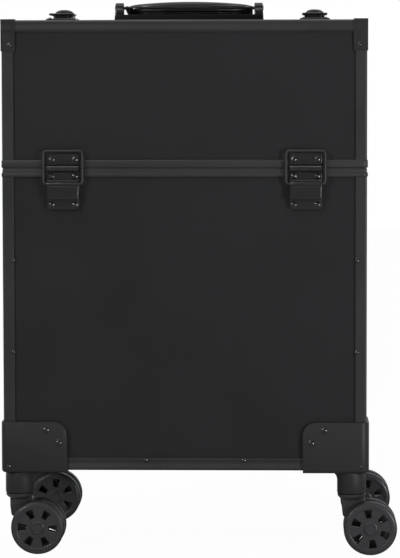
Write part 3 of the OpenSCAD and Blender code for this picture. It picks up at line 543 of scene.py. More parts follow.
lower_angles = both([
    angle(foot, (END - CASE_X, -CASE_Y, CASE_Z), (CASE_X - END, -CASE_Y, CASE_Z), FRONT, DOWN),
], 1) + both([
    angle(foot, (CASE_X, END - CASE_Y, CASE_Z), (CASE_X, CASE_Y - END, CASE_Z), SIDE, DOWN),
]) + both(both([
    angle(post, (CASE_X, -CASE_Y, CASE_Z + END), (CASE_X, -CASE_Y, LOWER_TOP), SIDE, FRONT),
]), 1)
piece("lower_angles", lower_angles, "lower_case", profile_black, "edge_profile", "lower_edge_frame")
piece("front_lid_angles", lid_angles, "front_lid", profile_black, "edge_profile", "front_lid_edge_frame")
piece("rear_lid_angles", mirrored(lid_angles, 1), "rear_lid", profile_black, "edge_profile",
      "rear_lid_edge_frame")

# %% [markdown]
# A pressed cap covers each upper corner of the lids: thin plates on the front, on the side and on top.
# The press has pushed the sheet onto the angle below, so the front and the side repeat its hollow and
# its crest, and lie flat further down, on the upright.

# %% Corner caps
CAP_T, CAP_W, CAP_H, CAP_SHEET, CAP_EASE = 0.8, 12.6, 29.0, 1.0, 0.5
CAP_PRESS = 0.45
cap_x, cap_y, cap_z = CASE_X + CAP_T, -CASE_Y - CAP_T, TOP_Z + CAP_T


def cap_face(start, end):
    """A grid over the width and the way q down from the top. The face lies back by half cosines, into
    the hollow, out to the crest and in again; near a rim it falls back further by the quarter circle
    ease * (1 - sin t), at ease * (1 - cos t) inside the rim. A flat back closes each row."""
    inset, fall = CAP_EASE * (1 - np.cos(QUARTER)), CAP_EASE * (1 - np.sin(QUARTER))
    wide = np.concatenate([start + inset, (end - inset)[::-1]])
    bottom = CAP_H + CAP_T
    middle = np.linspace(CAP_EASE, bottom - CAP_EASE, 48)[1:-1]
    q = np.concatenate([inset, middle, (bottom - inset)[::-1]])
    back = CAP_PRESS * (half_cosine(q, 2, 5) - half_cosine(q, 5, 9.4) + half_cosine(q, 9.4, 12.8))
    back += np.concatenate([fall, 0 * middle, fall[::-1]])
    depth = back + np.concatenate([fall, fall[::-1]])[:, None]
    depth = np.hstack([np.minimum(depth, CAP_SHEET), np.full((len(wide), 2), CAP_SHEET)])
    down = np.broadcast_to(np.concatenate([q, [bottom, 0]]), depth.shape)
    return np.broadcast_to(wide[:, None], depth.shape), depth, down


wide, depth, down = cap_face(CASE_X - CAP_W, cap_x)
cap_front = skin(np.stack([wide, cap_y + depth, cap_z - down], axis=-1))
wide, depth, down = cap_face(cap_y, CAP_W - CASE_Y)
cap_side = skin(np.stack([cap_x - depth, wide, cap_z - down], axis=-1))
cap_top = plate((CASE_X - CAP_W, cap_y, cap_z - CAP_SHEET), (cap_x, CAP_W - CASE_Y, cap_z), 1.4, CAP_EASE)
caps = both([cap_front, cap_side, cap_top])
piece("front_lid_caps", caps, "front_lid", bracket_black, "edge_profile", "front_lid_corner_caps")
piece("rear_lid_caps", mirrored(caps, 1), "rear_lid", bracket_black, "edge_profile",
      "rear_lid_corner_caps")

# %% [markdown]
# Where the lids meet the lower case, heavier extrusions run round the mouth: a beaded rim below, a
# rounded rim above, and a third along the split between the lids. A rim could be an extruded curve
# with a bevel profile; here the profile's points are rings. A point that lies d inside the outline
# runs round a rectangle that is d smaller, with corners d tighter, so the bead turns the corners
# without folding.

# %% Rim profiles
rim_low, rim_high = node_box("lower_rim_frame")
RIM_X, RIM_Y = rim_high[0], rim_high[1]
RIM_DEEP = 7.8
RIM_ROUND = 3.8
lid_low, lid_high = node_box("front_lid_rim_frame")
SEAM_Z = (rim_high[2] + lid_low[2]) / 2


def rim_profile(z0, z1, points):
    """A rim's section as (inset, height): the outer face's points, then straight back to the inside."""
    return np.array(points + [(RIM_DEEP, z1), (RIM_DEEP, z0)], float)


def inner_round(inset):
    """A ring's corner radius: the outline's less the inset, but never sharp."""
    return np.maximum(RIM_ROUND - inset, 0.4)


z0, z1 = rim_low[2], rim_high[2]
bead = [(0.9, z0), (0.25, z0 + 0.3), (0, z0 + 0.9), (0, z0 + 3.4), (0.25, z0 + 3.9), (0.8, z0 + 4.2),
        (0.8, z1 - 0.4), (0.9, z1 - 0.1), (1.1, z1)]
section = rim_profile(z0, z1 + 0.85, bead + [(1.2, z1 + 0.05), (1.3, z1 + 0.85)])
u, v = round_rectangle(RIM_X - section[:, 0], RIM_Y - section[:, 0], inner_round(section[:, 0]))
height = np.broadcast_to(section[:, 1:], u.shape)
lower_rim = skin(np.stack([u, v, height], axis=-1), loop=True)
piece("lower_rim", [lower_rim], "lower_case", profile_black, "edge_profile", "lower_rim_frame")


def half_outline(half_u, half_v, radius, v_end):
    """The front half of a rounded rectangle as two arrays, one row for each set of sizes: a start on
    v_end, two quarter circles round the far corners, and an end on v_end."""
    half_u, half_v, radius = (np.asarray(k, float).reshape(-1, 1) for k in (half_u, half_v, radius))
    t = np.concatenate([np.pi + QUARTER, 1.5 * np.pi + QUARTER])
    sign = np.repeat([-1, 1], len(QUARTER))
    u = sign * (half_u - radius) + radius * np.cos(t)
    v = radius - half_v + radius * np.sin(t)
    ends = np.full_like(half_v, v_end)
    return np.hstack([-half_u, u, half_u]), np.hstack([ends, v, ends])


z0, z1 = lid_low[2], LID_RIM_Z
section = rim_profile(z0, z1, [(0.7, z0), (0.2, z0 + 0.3), (0, z0 + 0.8),
                               (0, z1 - 1.2), (0.2, z1 - 0.5), (0.8, z1)])
u, v = half_outline(RIM_X - section[:, 0], RIM_Y - section[:, 0], inner_round(section[:, 0]), lid_high[1])
height = np.broadcast_to(section[:, 1:], u.shape)
seam_rim = skin(np.stack([u, v, height], axis=-1).swapaxes(0, 1))

y0, y1 = lid_high[1], lid_high[1] - 7.5
section = rim_profile(y0, y1, [(1.2, y0), (0.4, y0 - 0.4), (0, y0 - 1.2), (0, y1 + 1.2), (0.2, y1 + 0.5),
                               (0.8, y1)])
u, v = half_outline(RIM_X - section[:, 0], lid_high[2] - section[:, 0], inner_round(section[:, 0]),
                    -LID_RIM_Z)
side = np.broadcast_to(section[:, 1:], u.shape)
split_rim = skin(np.stack([u, side, -v], axis=-1).swapaxes(0, 1))
for half, shells in (("front", [seam_rim, split_rim]), ("rear", mirrored([seam_rim, split_rim], 1))):
    piece(f"{half}_lid_rim", shells, f"{half}_lid", profile_black, "edge_profile",
          f"{half}_lid_rim_frame")

# %% [markdown]
# Each half lid hangs on two stop hinges. A stop hinge is a pressed steel hinge with a rectangular wire
# ring over it: the ring's lower bar turns in a raised leg, and its upper bar catches the lid's leaf so
# that the lid stops upright. The leaves are plates with eased rims, the knuckles short polished rods,
# and the ring a circle carried round a rounded rectangle.

# %% Hinge leaves, knuckles and pins
pin_low, pin_high = node_box("hinge_pins")
HINGE_Y = pin_low[1] + 1.5
LEAF_W, LEAF_T = 30.0, 1.8
HINGE_X = pin_high[0] - LEAF_W / 2
LEAF_Y = -RIM_Y
KNUCKLE_D = 6.0
down_low = node_box("lower_hinge_leaves")[0]
leaf_top, leaf_foot = node_box("front_lid_hinge_leaves")[1][2], down_low[2]
PANEL_Y = node_box("lower_front_panel")[0][1]


def knuckle(x0, x1):
    """A rolled knuckle: a rod along X on the hinge's axis."""
    return rod(x0, x1, HINGE_Y, SEAM_Z, KNUCKLE_D, 0.12)


half = LEAF_W / 2
lid_leaf = [
    plate((-half, LEAF_Y - LEAF_T, SEAM_Z + 3.3), (half, LEAF_Y, leaf_top), 2.2, 0.45, axis=1),
    plate((-half + 0.4, LEAF_Y - 0.6, LID_RIM_Z), (half - 0.4, PANEL_Y, leaf_top - 0.4), 1.8, 0.2, axis=1),
    plate((-4.7, LEAF_Y - LEAF_T, SEAM_Z), (4.7, LEAF_Y - 0.4, SEAM_Z + 4.5), 0.5, 0.3, axis=1),
]
lower_leaf = [
    plate((-half, LEAF_Y - LEAF_T, leaf_foot), (half, LEAF_Y, SEAM_Z - 3.3), 2.2, 0.45, axis=1),
    plate((-half + 0.4, LEAF_Y - 0.6, leaf_foot + 0.4), (half - 0.4, PANEL_Y, rim_low[2]), 1.8, 0.2, axis=1),
] + both([
    plate((5.3, LEAF_Y - LEAF_T, SEAM_Z - 4.5), (half, LEAF_Y - 0.4, SEAM_Z), 0.5, 0.3, axis=1),
])

# %% [markdown]
# The leg under the ring is one pressing: a raised pad whose upper edge is rolled round the ring's lower
# bar and ends in a thin curled lip. The roll is a short tube, so the bar really turns inside it.

# %% Raised legs and limiter rings
ring_low, ring_high = node_box("front_hinge_rings")
RING_WIRE = 2.6
RING_Z = ring_low[2] + RING_WIRE / 2
LEG_Y = down_low[1]
roll = [(1.4, -14.5), (2.4, -14.5), (2.5, -14.3), (2.5, 14.3), (2.4, 14.5), (1.4, 14.5)]
leg = [
    plate((-14.5, LEG_Y, RING_Z - 14), (14.5, LEAF_Y, RING_Z - 1.5), 1.2, 0.7, axis=1),
    turned(roll, (0, HINGE_Y, RING_Z), 0, 28, loop=True),
]
half_x = (ring_high[0] - HINGE_X) - RING_WIRE / 2
half_z = (ring_high[2] - ring_low[2] - RING_WIRE) / 2
u, v = round_rectangle(half_x, half_z, 3.2)
ring_path = np.stack([u[0], np.full(u.shape[1], HINGE_Y), v[0] + RING_Z + half_z], axis=1)
ring = [carried(circle(RING_WIRE / 2), ring_path, (0, 1, 0), loop=True)]
pin = [rod(-half, half, HINGE_Y, SEAM_Z, 3.0, 0.3)]


def pair(shells):
    """The shells at both hinges of the front, left and right."""
    return moved(shells, x=-HINGE_X) + moved(shells, x=HINGE_X)


piece("lower_leaves", both(pair(lower_leaf + leg), 1), "lower_case", fitting_black, "gloss_black",
      "lower_hinge_leaves")
lip = rod(-14.5, 14.5, HINGE_Y - 1.2, RING_Z + 3.1, 2.2)
piece("lower_knuckles", both(pair(both([knuckle(5.15, half)]) + [lip]), 1), "lower_case", rivet_black,
      "gloss_black")
piece("hinge_rods", both(pair(pin), 1), "lower_case", fitting_black, "bright_steel", "hinge_pins")
for half_name, axis in (("front", None), ("rear", 1)):
    leaves, rings, rolls = pair(lid_leaf), pair(ring), pair([knuckle(-4.95, 4.95)])
    if axis is not None:
        leaves, rings, rolls = (mirrored(k, axis) for k in (leaves, rings, rolls))
    piece(f"{half_name}_lid_leaves", leaves, f"{half_name}_lid", fitting_black, "gloss_black",
          f"{half_name}_lid_hinge_leaves")
    piece(f"{half_name}_lid_knuckles", rolls, f"{half_name}_lid", rivet_black, "gloss_black")
    piece(f"{half_name}_limiter_rings", rings, f"{half_name}_rings", profile_black, "bright_steel",
          f"{half_name}_hinge_rings")

# %% [markdown]
# Rivets hold the leaves, the caps and the profiles, and two larger screws hold each bottom bracket.
# A rivet's head is the top of a ball, turned round its own axis, so each one catches both softboxes as
# two points of light. The flatter it is, the further apart they stand.

# %% Rivets and screws
LEAF_FACE = LEAF_Y - LEAF_T
BRACKET_Y, BRACKET_TOP = bracket_low[1], bracket_high[2]
BRACKET_IN = CASE_X + BRACKET_T - BRACKET_L
LOWER_H = SEAM_Z - CASE_Z
STRIP = 9.36
LEAF_RIVET, RIVET, SCREW, SMALL_RIVET = (6, 0.95), (4.4, 0.8), (6.6, 1.1), (4, 0.7)


def heads(places, y, diameter, height):
    """Domed heads on a wall that faces the front, at (x, z) places."""
    return [dome((x, y, z), 1, -1, diameter, height) for x, z in places]


hinge_xs = [s * HINGE_X + k * 11 for s in (-1, 1) for k in (-1, 1)]
low_heads = heads([(x, leaf_foot + 4.2) for x in hinge_xs] + [(x, SEAM_Z - 7.4) for x in hinge_xs],
                  LEAF_FACE, *LEAF_RIVET)
strip_places = [(s * (CASE_X - STRIP), CASE_Z + k * LOWER_H) for s in (-1, 1) for k in (0.392, 0.696)]
low_heads += heads(strip_places, -CASE_Y, *RIVET)
foot_back = FOOT_WAVE[0] * (1 - half_cosine(STRIP, FOOT_WAVE[1], FOOT_WAVE[3]))
foot_places = [(k * 2 * CASE_X, CASE_Z + STRIP) for k in (-0.109, 0.162)]
low_heads += heads(foot_places, foot_back - CASE_Y, *RIVET)
screw_places = [(s * (BRACKET_IN + a), BRACKET_TOP - b) for s in (-1, 1) for a, b in ((20, 8), (8, 20))]
low_heads += heads(screw_places, BRACKET_Y, *SCREW)
low_heads += heads([(s * (CASE_X - 4.2), CASE_Z + 3.6) for s in (-1, 1)], BRACKET_Y, *SMALL_RIVET)
piece("case_rivets", both(low_heads, 1), "lower_case", rivet_black, "gloss_black", "lower_case_rivets")
lid_heads = heads([(x, SEAM_Z + 8.2) for x in hinge_xs], LEAF_FACE, *LEAF_RIVET)
cap_places = [(s * (CASE_X - STRIP + 2.2), TOP_Z - CAP_H + 5.7) for s in (-1, 1)]
lid_heads += heads(cap_places, cap_y + CAP_PRESS, *RIVET)
piece("front_rivets", lid_heads, "front_lid", rivet_black, "gloss_black", "front_lid_rivets")
piece("rear_rivets", mirrored(lid_heads, 1), "rear_lid", rivet_black, "gloss_black", "rear_lid_rivets")

# %% [markdown]
# Two draw latches join the half lids on top. The base sits on the rear lid, and its domed lever pulls a
# wire bail that hooks over the keeper on the front lid. The lever is one grid: sections across X stand
# at steps along Y, and each is the upper half of a squarish ellipse on a flat foot. The nose is narrow,
# to fit between the lugs; behind them the lever widens into a paddle with a round end.

# %% Latch lever
base_low, base_high = node_box("latch_bases")
keep_low, keep_high = node_box("latch_keepers")
lever_low, lever_high = node_box("left_latch_lever")
bail_low, bail_high = node_box("left_latch_bail")
LATCH_X = -(lever_low[0] + lever_high[0]) / 2
DECK_Z = base_low[2]
LATCH_HALF = base_high[0] - LATCH_X
LATCH_TOP = lever_low[2] - 0.3
PADDLE = (lever_high[0] - lever_low[0]) / 2
PIVOT_Y, PIVOT_Z = lever_low[1] + 2.5, lever_low[2] + 2.5
BAIL_Z = (bail_low[2] + bail_high[2]) / 2
NOSE = 7.5


def lever_surface():
    """Sections across X at steps along Y. The half width w goes from the nose to the paddle along a
    quarter ellipse and ends in a quarter circle; the top h falls along a quarter ellipse towards the
    nose. Each section is |x / w| ** 2.7 + |z / h| ** 2.7 = 1 above a flat foot."""
    end = lever_high[1]
    tip, full = PIVOT_Y - 2.4, PIVOT_Y + 6.8
    turn = np.linspace(0, np.pi / 2, 7)
    front = full - (full - tip) * np.cos(np.linspace(0.05, np.pi / 2, 12))
    along = np.concatenate([front, end - 5 + 5 * np.sin(turn)])
    widen = np.clip((along - PIVOT_Y - 3.4) / 3.4, 0, 1)
    wide = NOSE + (PADDLE - NOSE) * np.sqrt(1 - (1 - widen) ** 2)
    wide[-7:] = PADDLE - 5 + 5 * np.cos(turn)
    back = np.clip((full - along) / (full - tip), 0, 1)
    high = lever_high[2] - lever_low[2] - 5.0 * (1 - np.sqrt(1 - back ** 2))
    high[-7:] -= 1.2 * (1 - np.cos(turn))
    t = np.linspace(-np.pi / 2, np.pi / 2, 21)
    power = 2 / 2.7
    x = wide[:, None] * np.sign(np.sin(t)) * np.abs(np.sin(t)) ** power
    z = lever_low[2] + high[:, None] * np.abs(np.cos(t)) ** power
    return skin(np.stack([x, np.broadcast_to(along[:, None], x.shape), z], axis=-1))


lever = [lever_surface(), rod(-NOSE, NOSE, PIVOT_Y, PIVOT_Z, 5.0, 0.6)]

# %% [markdown]
# The base and the keeper are plates with eased rims, two lugs that carry the lever's pin, and rivets.
# The bail is a circle carried round a rounded rectangle.

# %% Latch bases, bails and keepers
base = [
    plate((-LATCH_HALF, base_low[1], DECK_Z), (LATCH_HALF, base_high[1], LATCH_TOP), 3, 0.9),
    rod(-7.8, 7.8, PIVOT_Y, PIVOT_Z, 3.0),
] + both([
    plate((7.8, PIVOT_Y - 3, TOP_Z), (9.8, PIVOT_Y + 3, PIVOT_Z + 3), 2.9, 0.4, axis=0),
    dome((11.6, base_high[1] - 3.2, LATCH_TOP), 2, 1, 4.0, 1.0),
    dome((11.6, base_low[1] + 3.0, LATCH_TOP), 2, 1, 4.0, 1.0),
])
half_x = (bail_high[0] - bail_low[0]) / 2 - 1
half_y = (bail_high[1] - bail_low[1]) / 2 - 1
u, v = round_rectangle(half_x, half_y, 2.6)
bail_path = np.stack([u[0], v[0] + (bail_low[1] + bail_high[1]) / 2, np.full(u.shape[1], BAIL_Z)], axis=1)
bail = [carried(circle(1.0), bail_path, (0, 0, 1), loop=True)]
keeper = [
    plate((-LATCH_HALF, keep_low[1], DECK_Z), (LATCH_HALF, keep_high[1], LATCH_TOP), 3, 0.9),
    plate((-6.5, -13.8, TOP_Z), (6.5, -11.4, keep_high[2]), 1.0, 0.8, axis=1),
] + both([dome((10.6, keep_low[1] + 3.4, LATCH_TOP), 2, 1, 4.0, 1.0)])
piece("latch_plates", moved(base, x=-LATCH_X) + moved(base, x=LATCH_X), "rear_lid", gloss_black,
      "gloss_black", "latch_bases")
piece("latch_hooks", moved(keeper, x=-LATCH_X) + moved(keeper, x=LATCH_X), "front_lid", gloss_black,
      "gloss_black", "latch_keepers")
for side, x in (("left", -LATCH_X), ("right", LATCH_X)):
    piece(f"{side}_domed_lever", moved(lever, x=x), f"{side}_lever", lever_black, "gloss_black",
          f"{side}_latch_lever")
    piece(f"{side}_wire_bail", moved(bail, x=x), f"{side}_bail", fitting_black, "bright_steel",
          f"{side}_latch_bail")

# %% [markdown]
# The carry handle is moulded in black plastic: a long matt base plate that ends in two glossy upright
# cheeks, and a bow that folds down between them. The base plate and the bow's arms are coloured darker
# than the other blacks: a real black plate, with painted shade for the shadow under the bow. The cheeks
# need a new formula, because their outline is free: a board, whose outline is drawn as points and moved
# inwards along its own normals to ease the rims.

# %% Handle base
def board(outline, low, high, ease, axis):
    """A flat board of a free outline (u, v), counter-clockwise, between two levels along `axis`. At the
    angle t of each eased rim the outline moves in by ease * (1 - sin t), along the mean of its two
    sides' normals, and the level is ease * (1 - cos t) inside the face."""
    outline = np.asarray(outline, float)
    ahead = np.roll(outline, -1, axis=0) - outline
    ahead = ahead / np.linalg.norm(ahead, axis=1, keepdims=True)
    along = ahead + np.roll(ahead, 1, axis=0)
    along = along / np.linalg.norm(along, axis=1, keepdims=True)
    inward = np.stack([-along[:, 1], along[:, 0]], axis=1)
    inward = inward / np.maximum(np.sum(along * ahead, axis=1, keepdims=True), 0.3)
    inset = ease * (1 - np.sin(QUARTER))
    inset = np.concatenate([inset, inset[::-1]])
    rise = ease * (1 - np.cos(QUARTER))
    level = np.concatenate([low + rise, high - rise[::-1]])
    uv = outline[None] + inset[:, None, None] * inward[None]
    a, b = ACROSS[axis]
    points = np.empty(uv.shape[:2] + (3,))
    points[..., a], points[..., b], points[..., axis] = uv[..., 0], uv[..., 1], level[:, None]
    return skin(points)


def arc(centre, radius, start, end, steps=12):
    """Points of a circle's arc between two angles in degrees."""
    t = np.radians(np.linspace(start, end, steps))
    return np.stack([centre[0] + radius * np.cos(t), centre[1] + radius * np.sin(t)], axis=1)


plate_low, plate_high = node_box("carry_handle_base")
bow_low, bow_high = node_box("carry_handle_grip")
HANDLE_Y = (plate_low[1] + plate_high[1]) / 2
EAR_R = 5.1
HANDLE_Z = plate_high[2] - EAR_R
PLINTH_Z = TOP_Z + 8
EAR_X = plate_high[0] - 9.5
FLARE = 1.2
ear = np.concatenate([[(HANDLE_Y - 9, TOP_Z), (HANDLE_Y + 9, TOP_Z)],
                      arc((HANDLE_Y, HANDLE_Z), EAR_R, -15, 195)])
cheek, cheek_quads, cheek_ends = board(ear, EAR_X, EAR_X + 8, 0.8, 0)
lower_share = (plate_high[2] - cheek[:, 2]) / (plate_high[2] - TOP_Z)
cheek[:, 0] += FLARE * lower_share * (cheek[:, 0] - EAR_X) / 8
cheeks = both([
    (cheek, cheek_quads, cheek_ends),
    rod(EAR_X - 9, EAR_X + 0.5, HANDLE_Y, HANDLE_Z, 3.2),
    dome((EAR_X + 8.4, HANDLE_Y, HANDLE_Z), 0, 1, 7, 0.7),
])
piece("handle_cheeks", cheeks, "rear_lid", gloss_black, "grip", "carry_handle_base")
long_low = (plate_low[0] + 1, plate_low[1], plate_low[2])
long_high = (plate_high[0] - 1, plate_high[1], PLINTH_Z)
# The plate's colour is painted shade: darker than the other blacks, for the shadow under the bow.
piece("handle_plate", [plate(long_low, long_high, 4, 0.4)], "rear_lid", shade_painted_black, "grip")

# %% [markdown]
# The grip is thickest in the middle and falls off in a round shoulder at each end, where a slender arm
# joins it to its pivot. Long ridges run along its front and back for the fingers. One formula gives it:
# along X the section's top follows a flat arch and then a round shoulder, and round the section the
# points of a squarish ellipse are pushed in where a cosine of the height says there is a groove. The
# grooves fade out before the ends.

# %% Grip and arms
GRIP_L, GRIP_D, GRIP_T = bow_high[0] - bow_low[0], 15.0, 14.5
GRIP_Y = bow_high[1] - GRIP_D / 2
SHOULDER = 12.0
GRIP_END = GRIP_L / 2 + 1


def grip_surface(along, around):
    """x runs over the grip's length and t once round it. The top lies at GRIP_T / 2 less 3.6 times the
    square of the share of the way out, less a round shoulder; the underside rises only at the very
    end. The section is |y / a| ** 3 + |z / b| ** 3 = 1."""
    x = GRIP_END * np.sin(np.linspace(-np.pi / 2, np.pi / 2, along))[:, None]
    t = (np.arange(around) * 2 * np.pi / around)[None]
    out = np.abs(x) / GRIP_END
    past = np.clip((np.abs(x) - (GRIP_END - SHOULDER)) / SHOULDER, 0, 1)
    fall = 1 - np.sqrt(1 - 0.98 * past ** 2)
    bend = np.clip(2 * out - 1, 0, 1)
    top = GRIP_T / 2 - 3.6 * out ** 2 - 1.9 * fall
    foot = -GRIP_T / 2 - 0.9 + 1.5 * fall
    deep = GRIP_D / 2 - 4.4 * bend ** 2
    power = 2 / 3
    ring_y = np.sign(np.cos(t)) * np.abs(np.cos(t)) ** power
    ring_z = np.sign(np.sin(t)) * np.abs(np.sin(t)) ** power
    z = (top + foot) / 2 + (top - foot) / 2 * ring_z
    fade = np.clip((GRIP_L / 2 - 8 - np.abs(x)) / 8, 0, 1)
    groove = np.clip(np.cos(2 * np.pi * z / 3.5), 0, 1) ** 2 * np.abs(np.cos(t)) ** 2
    y = (deep - 0.35 * fade * groove) * ring_y
    return np.stack([np.broadcast_to(x, z.shape), GRIP_Y + y, HANDLE_Z + z], axis=-1)


arm = np.concatenate([arc((HANDLE_Y, HANDLE_Z - 0.6), 2.6, 90, 270), [(GRIP_Y, HANDLE_Z - 6.5)],
                      [(GRIP_Y, HANDLE_Z + 1.4)]])
piece("handle_bow", [skin(grip_surface(64, 96))], "carry_grip", gloss_black, "grip", "carry_handle_grip")
arms = both([board(arm, GRIP_END - 2.4, GRIP_END, 0.5, 0)])
# The arms take the same painted-shade black, for the shade under the bow's ends.
piece("handle_arms", arms, "carry_grip", shade_painted_black, "grip")

# %% [markdown]
# Each castor is a moulded housing under the bracket, a fork that swivels in it, and a wheel on either
# side of the fork. The housing is turned, rounded below and flared into the bracket above. Each ring of
# the flare is also shifted towards the case's middle by as much as it grows, so the outer sides stay
# plumb. The fork is a swivel disc and a board that runs back to the axle, because the wheels trail, and
# a ringed cap closes each end of the axle.

# %% Castor housings and forks
house_low, house_high = node_box("castor_housings")
WHEEL_D, WHEEL_W, PAIR_GAP, TRAIL = 50.0, 13.0, 10.0, 17.5
AXLE_Z = WHEEL_D / 2
CASTOR_X, CASTOR_Y = house_high[0] - 13.5, house_high[1] - 13.5
FORK_TOP, PLATE_Z = house_low[2], house_high[2]
rise = np.linspace(0, 1, 8)
flare = 3.4 * (1 - np.sqrt(1 - rise ** 2))
flare_z = PLATE_Z - 8 * (1 - rise)
cup = [(5, FORK_TOP), (12.6, FORK_TOP), (13.2, FORK_TOP + 0.3), (13.5, FORK_TOP + 0.9)]
cup, cup_quads, cup_ends = turned(cup + list(zip(13.5 + flare, flare_z)), (0, 0, 0), 2, 56)
lean = np.interp(cup[:, 2], flare_z, flare)[:, None]
corners = [(sx, sy) for sy in (-1, 1) for sx in (-1, 1)]
housings = [(cup + [sx * CASTOR_X, sy * CASTOR_Y, 0] - lean * [sx, sy, 0], cup_quads, cup_ends)
            for sx, sy in corners]
piece("castor_cups", housings, "lower_case", housing_black, "gloss_black", "castor_housings")

disc_top = FORK_TOP - 0.3
disc_foot = disc_top - 5.5
knee = [(-9.4, disc_top), (-9.2, 44), (-8.2, 36), (1, 26)]
web = np.concatenate([arc((TRAIL, AXLE_Z), 6.4, -140, 10), [(12.4, disc_foot), (12.4, disc_top)], knee])
axle_end = PAIR_GAP / 2 + WHEEL_W + 0.1
hub_cap = np.array([(5.4, -0.2), (5.4, 0.8), (5.1, 1.2), (4.5, 1.2), (4.1, 0.7), (0.4, 0.6)])
fork = [
    turned([(4.9, disc_top + 14), (4.9, disc_top), (12.6, disc_top), (13.2, disc_top - 0.4),
            (13.2, disc_top - 1.2), (12.6, disc_top - 2.6), (11.4, disc_top - 3.9), (9.8, disc_top - 4.6),
            (8.0, disc_foot)], (0, 0, 0), 2, 48),
    board(web[:, ::-1][::-1], -4, 4, 0.9, 1),
    rod(-axle_end, axle_end, AXLE_Z, TRAIL, 6.0, 0.2, axis=1),
] + [turned(hub_cap * [1, s], (TRAIL, s * axle_end, AXLE_Z), 1, 36) for s in (-1, 1)]

# %% [markdown]
# A wheel has a soft tyre round a hard disc with six keystone windows. A disc with holes is awkward on
# one grid, so it is built as it would be drawn: a hub ring, a rim ring, and six spokes between them, each
# a block whose sides run straight to the axle. All parts are closed and overlap a little. Every pair of
# wheels stands at its own angle, in degrees, and the inner wheel is twisted against the outer one,
# because each turns by itself.

# %% Wheels
def spokes(turn):
    """Six blocks between the windows. In polar terms each fills radii 9.8 to 18.6 and 18.5 degrees to
    either side of its middle; near its faces the sides come in by 0.5 mm, an angle of 0.5 / radius."""
    level = np.array([-5.8, -5.3, 5.3, 5.8])
    inset = np.array([0.5, 0, 0, 0.5])
    side = np.linspace(-1, 1, 7)
    radius = np.concatenate([np.full(7, 9.8), np.full(7, 18.6)])
    share = np.concatenate([side, side[::-1]])
    middles = np.radians(turn + 30 + 60 * np.arange(6))
    half = np.radians(18.5) - inset[None, :, None] / radius
    angle = middles[:, None, None] + share * half
    points = np.stack([radius * np.cos(angle), np.broadcast_to(level[None, :, None], angle.shape),
                       radius * np.sin(angle)], axis=-1)
    return [skin(block) for block in points]


tyre_side = [(23.4, 5.6), (24.2, 5.3), (24.8, 4.5), (25, 3.2)]
tyre = np.array([(21.0, 5.0)] + tyre_side + [(r, -y) for r, y in tyre_side[::-1]] + [(21.0, -5.0)])
rim_side = [(19.0, 5.9), (19.2, 6.2), (19.6, 6.4), (22.9, 6.4), (23.4, 6.1), (23.6, 5.5)]
rim = np.array([(18.3, 5.9)] + rim_side + [(r, -y) for r, y in rim_side[::-1]] + [(18.3, -5.9)])
hub_side = [(3.1, 6.5), (6.0, 6.5), (6.4, 6.2), (6.6, 5.9), (10.2, 5.9)]
hub = np.array(hub_side + [(r, -y) for r, y in hub_side[::-1]])
origin = (0, 0, 0)
tyre_shell = [turned(tyre, origin, 1, 64, loop=True)]
disc_shells = [turned(rim, origin, 1, 64, loop=True), turned(hub, origin, 1, 48, loop=True)]
WHEEL_TURN = {"front_left": (-3, 30), "front_right": (38, 28), "rear_left": (49, 39), "rear_right": (36, 44)}
for (sx, sy), (place, (turn, twist)) in zip(corners, WHEEL_TURN.items()):
    x, y = sx * CASTOR_X, sy * CASTOR_Y
    piece(f"{place}_fork_and_axle", moved(fork, x, y), f"{place}_fork", wheel_black, "gloss_black",
          f"{place}_castor_fork")
    for wheel, side, spin in (("outer", sy, 0), ("inner", -sy, twist)):
        hub_place = (x + TRAIL, y + side * (PAIR_GAP + WHEEL_W) / 2, AXLE_Z)
        body = f"{place}_{wheel}_wheel"
        piece(f"{place}_{wheel}_disc", moved(disc_shells + spokes(turn + spin), *hub_place), body,
              wheel_black, "wheel", body)
        piece(f"{place}_{wheel}_tyre", moved(tyre_shell, *hub_place), body, tyre_rubber, "wheel")

# %% [markdown]
# A telescopic pull handle runs up the back: two outer tubes in moulded mounts, two sizes of tube that
# slide inside them, and a grip with a release button. Tubes are turned from a closed profile, so they
# have a real bore and a rounded mouth. None of it shows in the photograph, so its shapes follow what
# such cases usually have.

# %% Pull handle
tube_low, tube_high = node_box("pull_handle_outer_tubes")
mid_low, mid_high = node_box("pull_handle_middle_tubes")
in_low, in_high = node_box("pull_handle_inner_tubes")
mount_low, mount_high = node_box("pull_handle_mounts")
TUBE_D = 16.0
TUBE_X, TUBE_Y = tube_high[0] - TUBE_D / 2, tube_high[1] - TUBE_D / 2
BACK_Y = node_box("lower_back_panel")[1][1]


def pipe(low, high, diameter):
    """A tube on the Z axis with a 1.2 mm wall, turned from a closed section with eased mouths."""
    r = diameter / 2
    section = [(r - 1.2, low), (r - 0.3, low), (r, low + 0.3), (r, high - 0.3), (r - 0.3, high),
               (r - 1.2, high)]
    return turned(section, (0, TUBE_Y, 0), 2, 40, loop=True)


def two(shells):
    """The shells at the left and the right tube."""
    return moved(shells, x=-TUBE_X) + moved(shells, x=TUBE_X)


piece("outer_tubes", two([pipe(tube_low[2], tube_high[2], TUBE_D)]), "lower_case", tube_black, "tube",
      "pull_handle_outer_tubes")
piece("middle_tubes", two([pipe(mid_low[2], mid_high[2], mid_high[0] * 2 - TUBE_X * 2)]), "pull_middle",
      tube_grey, "tube", "pull_handle_middle_tubes")
piece("inner_tubes", two([pipe(in_low[2], in_high[2], in_high[0] * 2 - TUBE_X * 2)]), "pull_inner",
      tube_grey, "tube", "pull_handle_inner_tubes")

# %% [markdown]
# Each mount is a moulded block that wraps the tube. Its outline is drawn from above: a foot on the back
# panel, two straight cheeks and a half circle round the tube. As a ring, inner circle and outer outline
# at the same angles, it has its bore without any cutting.

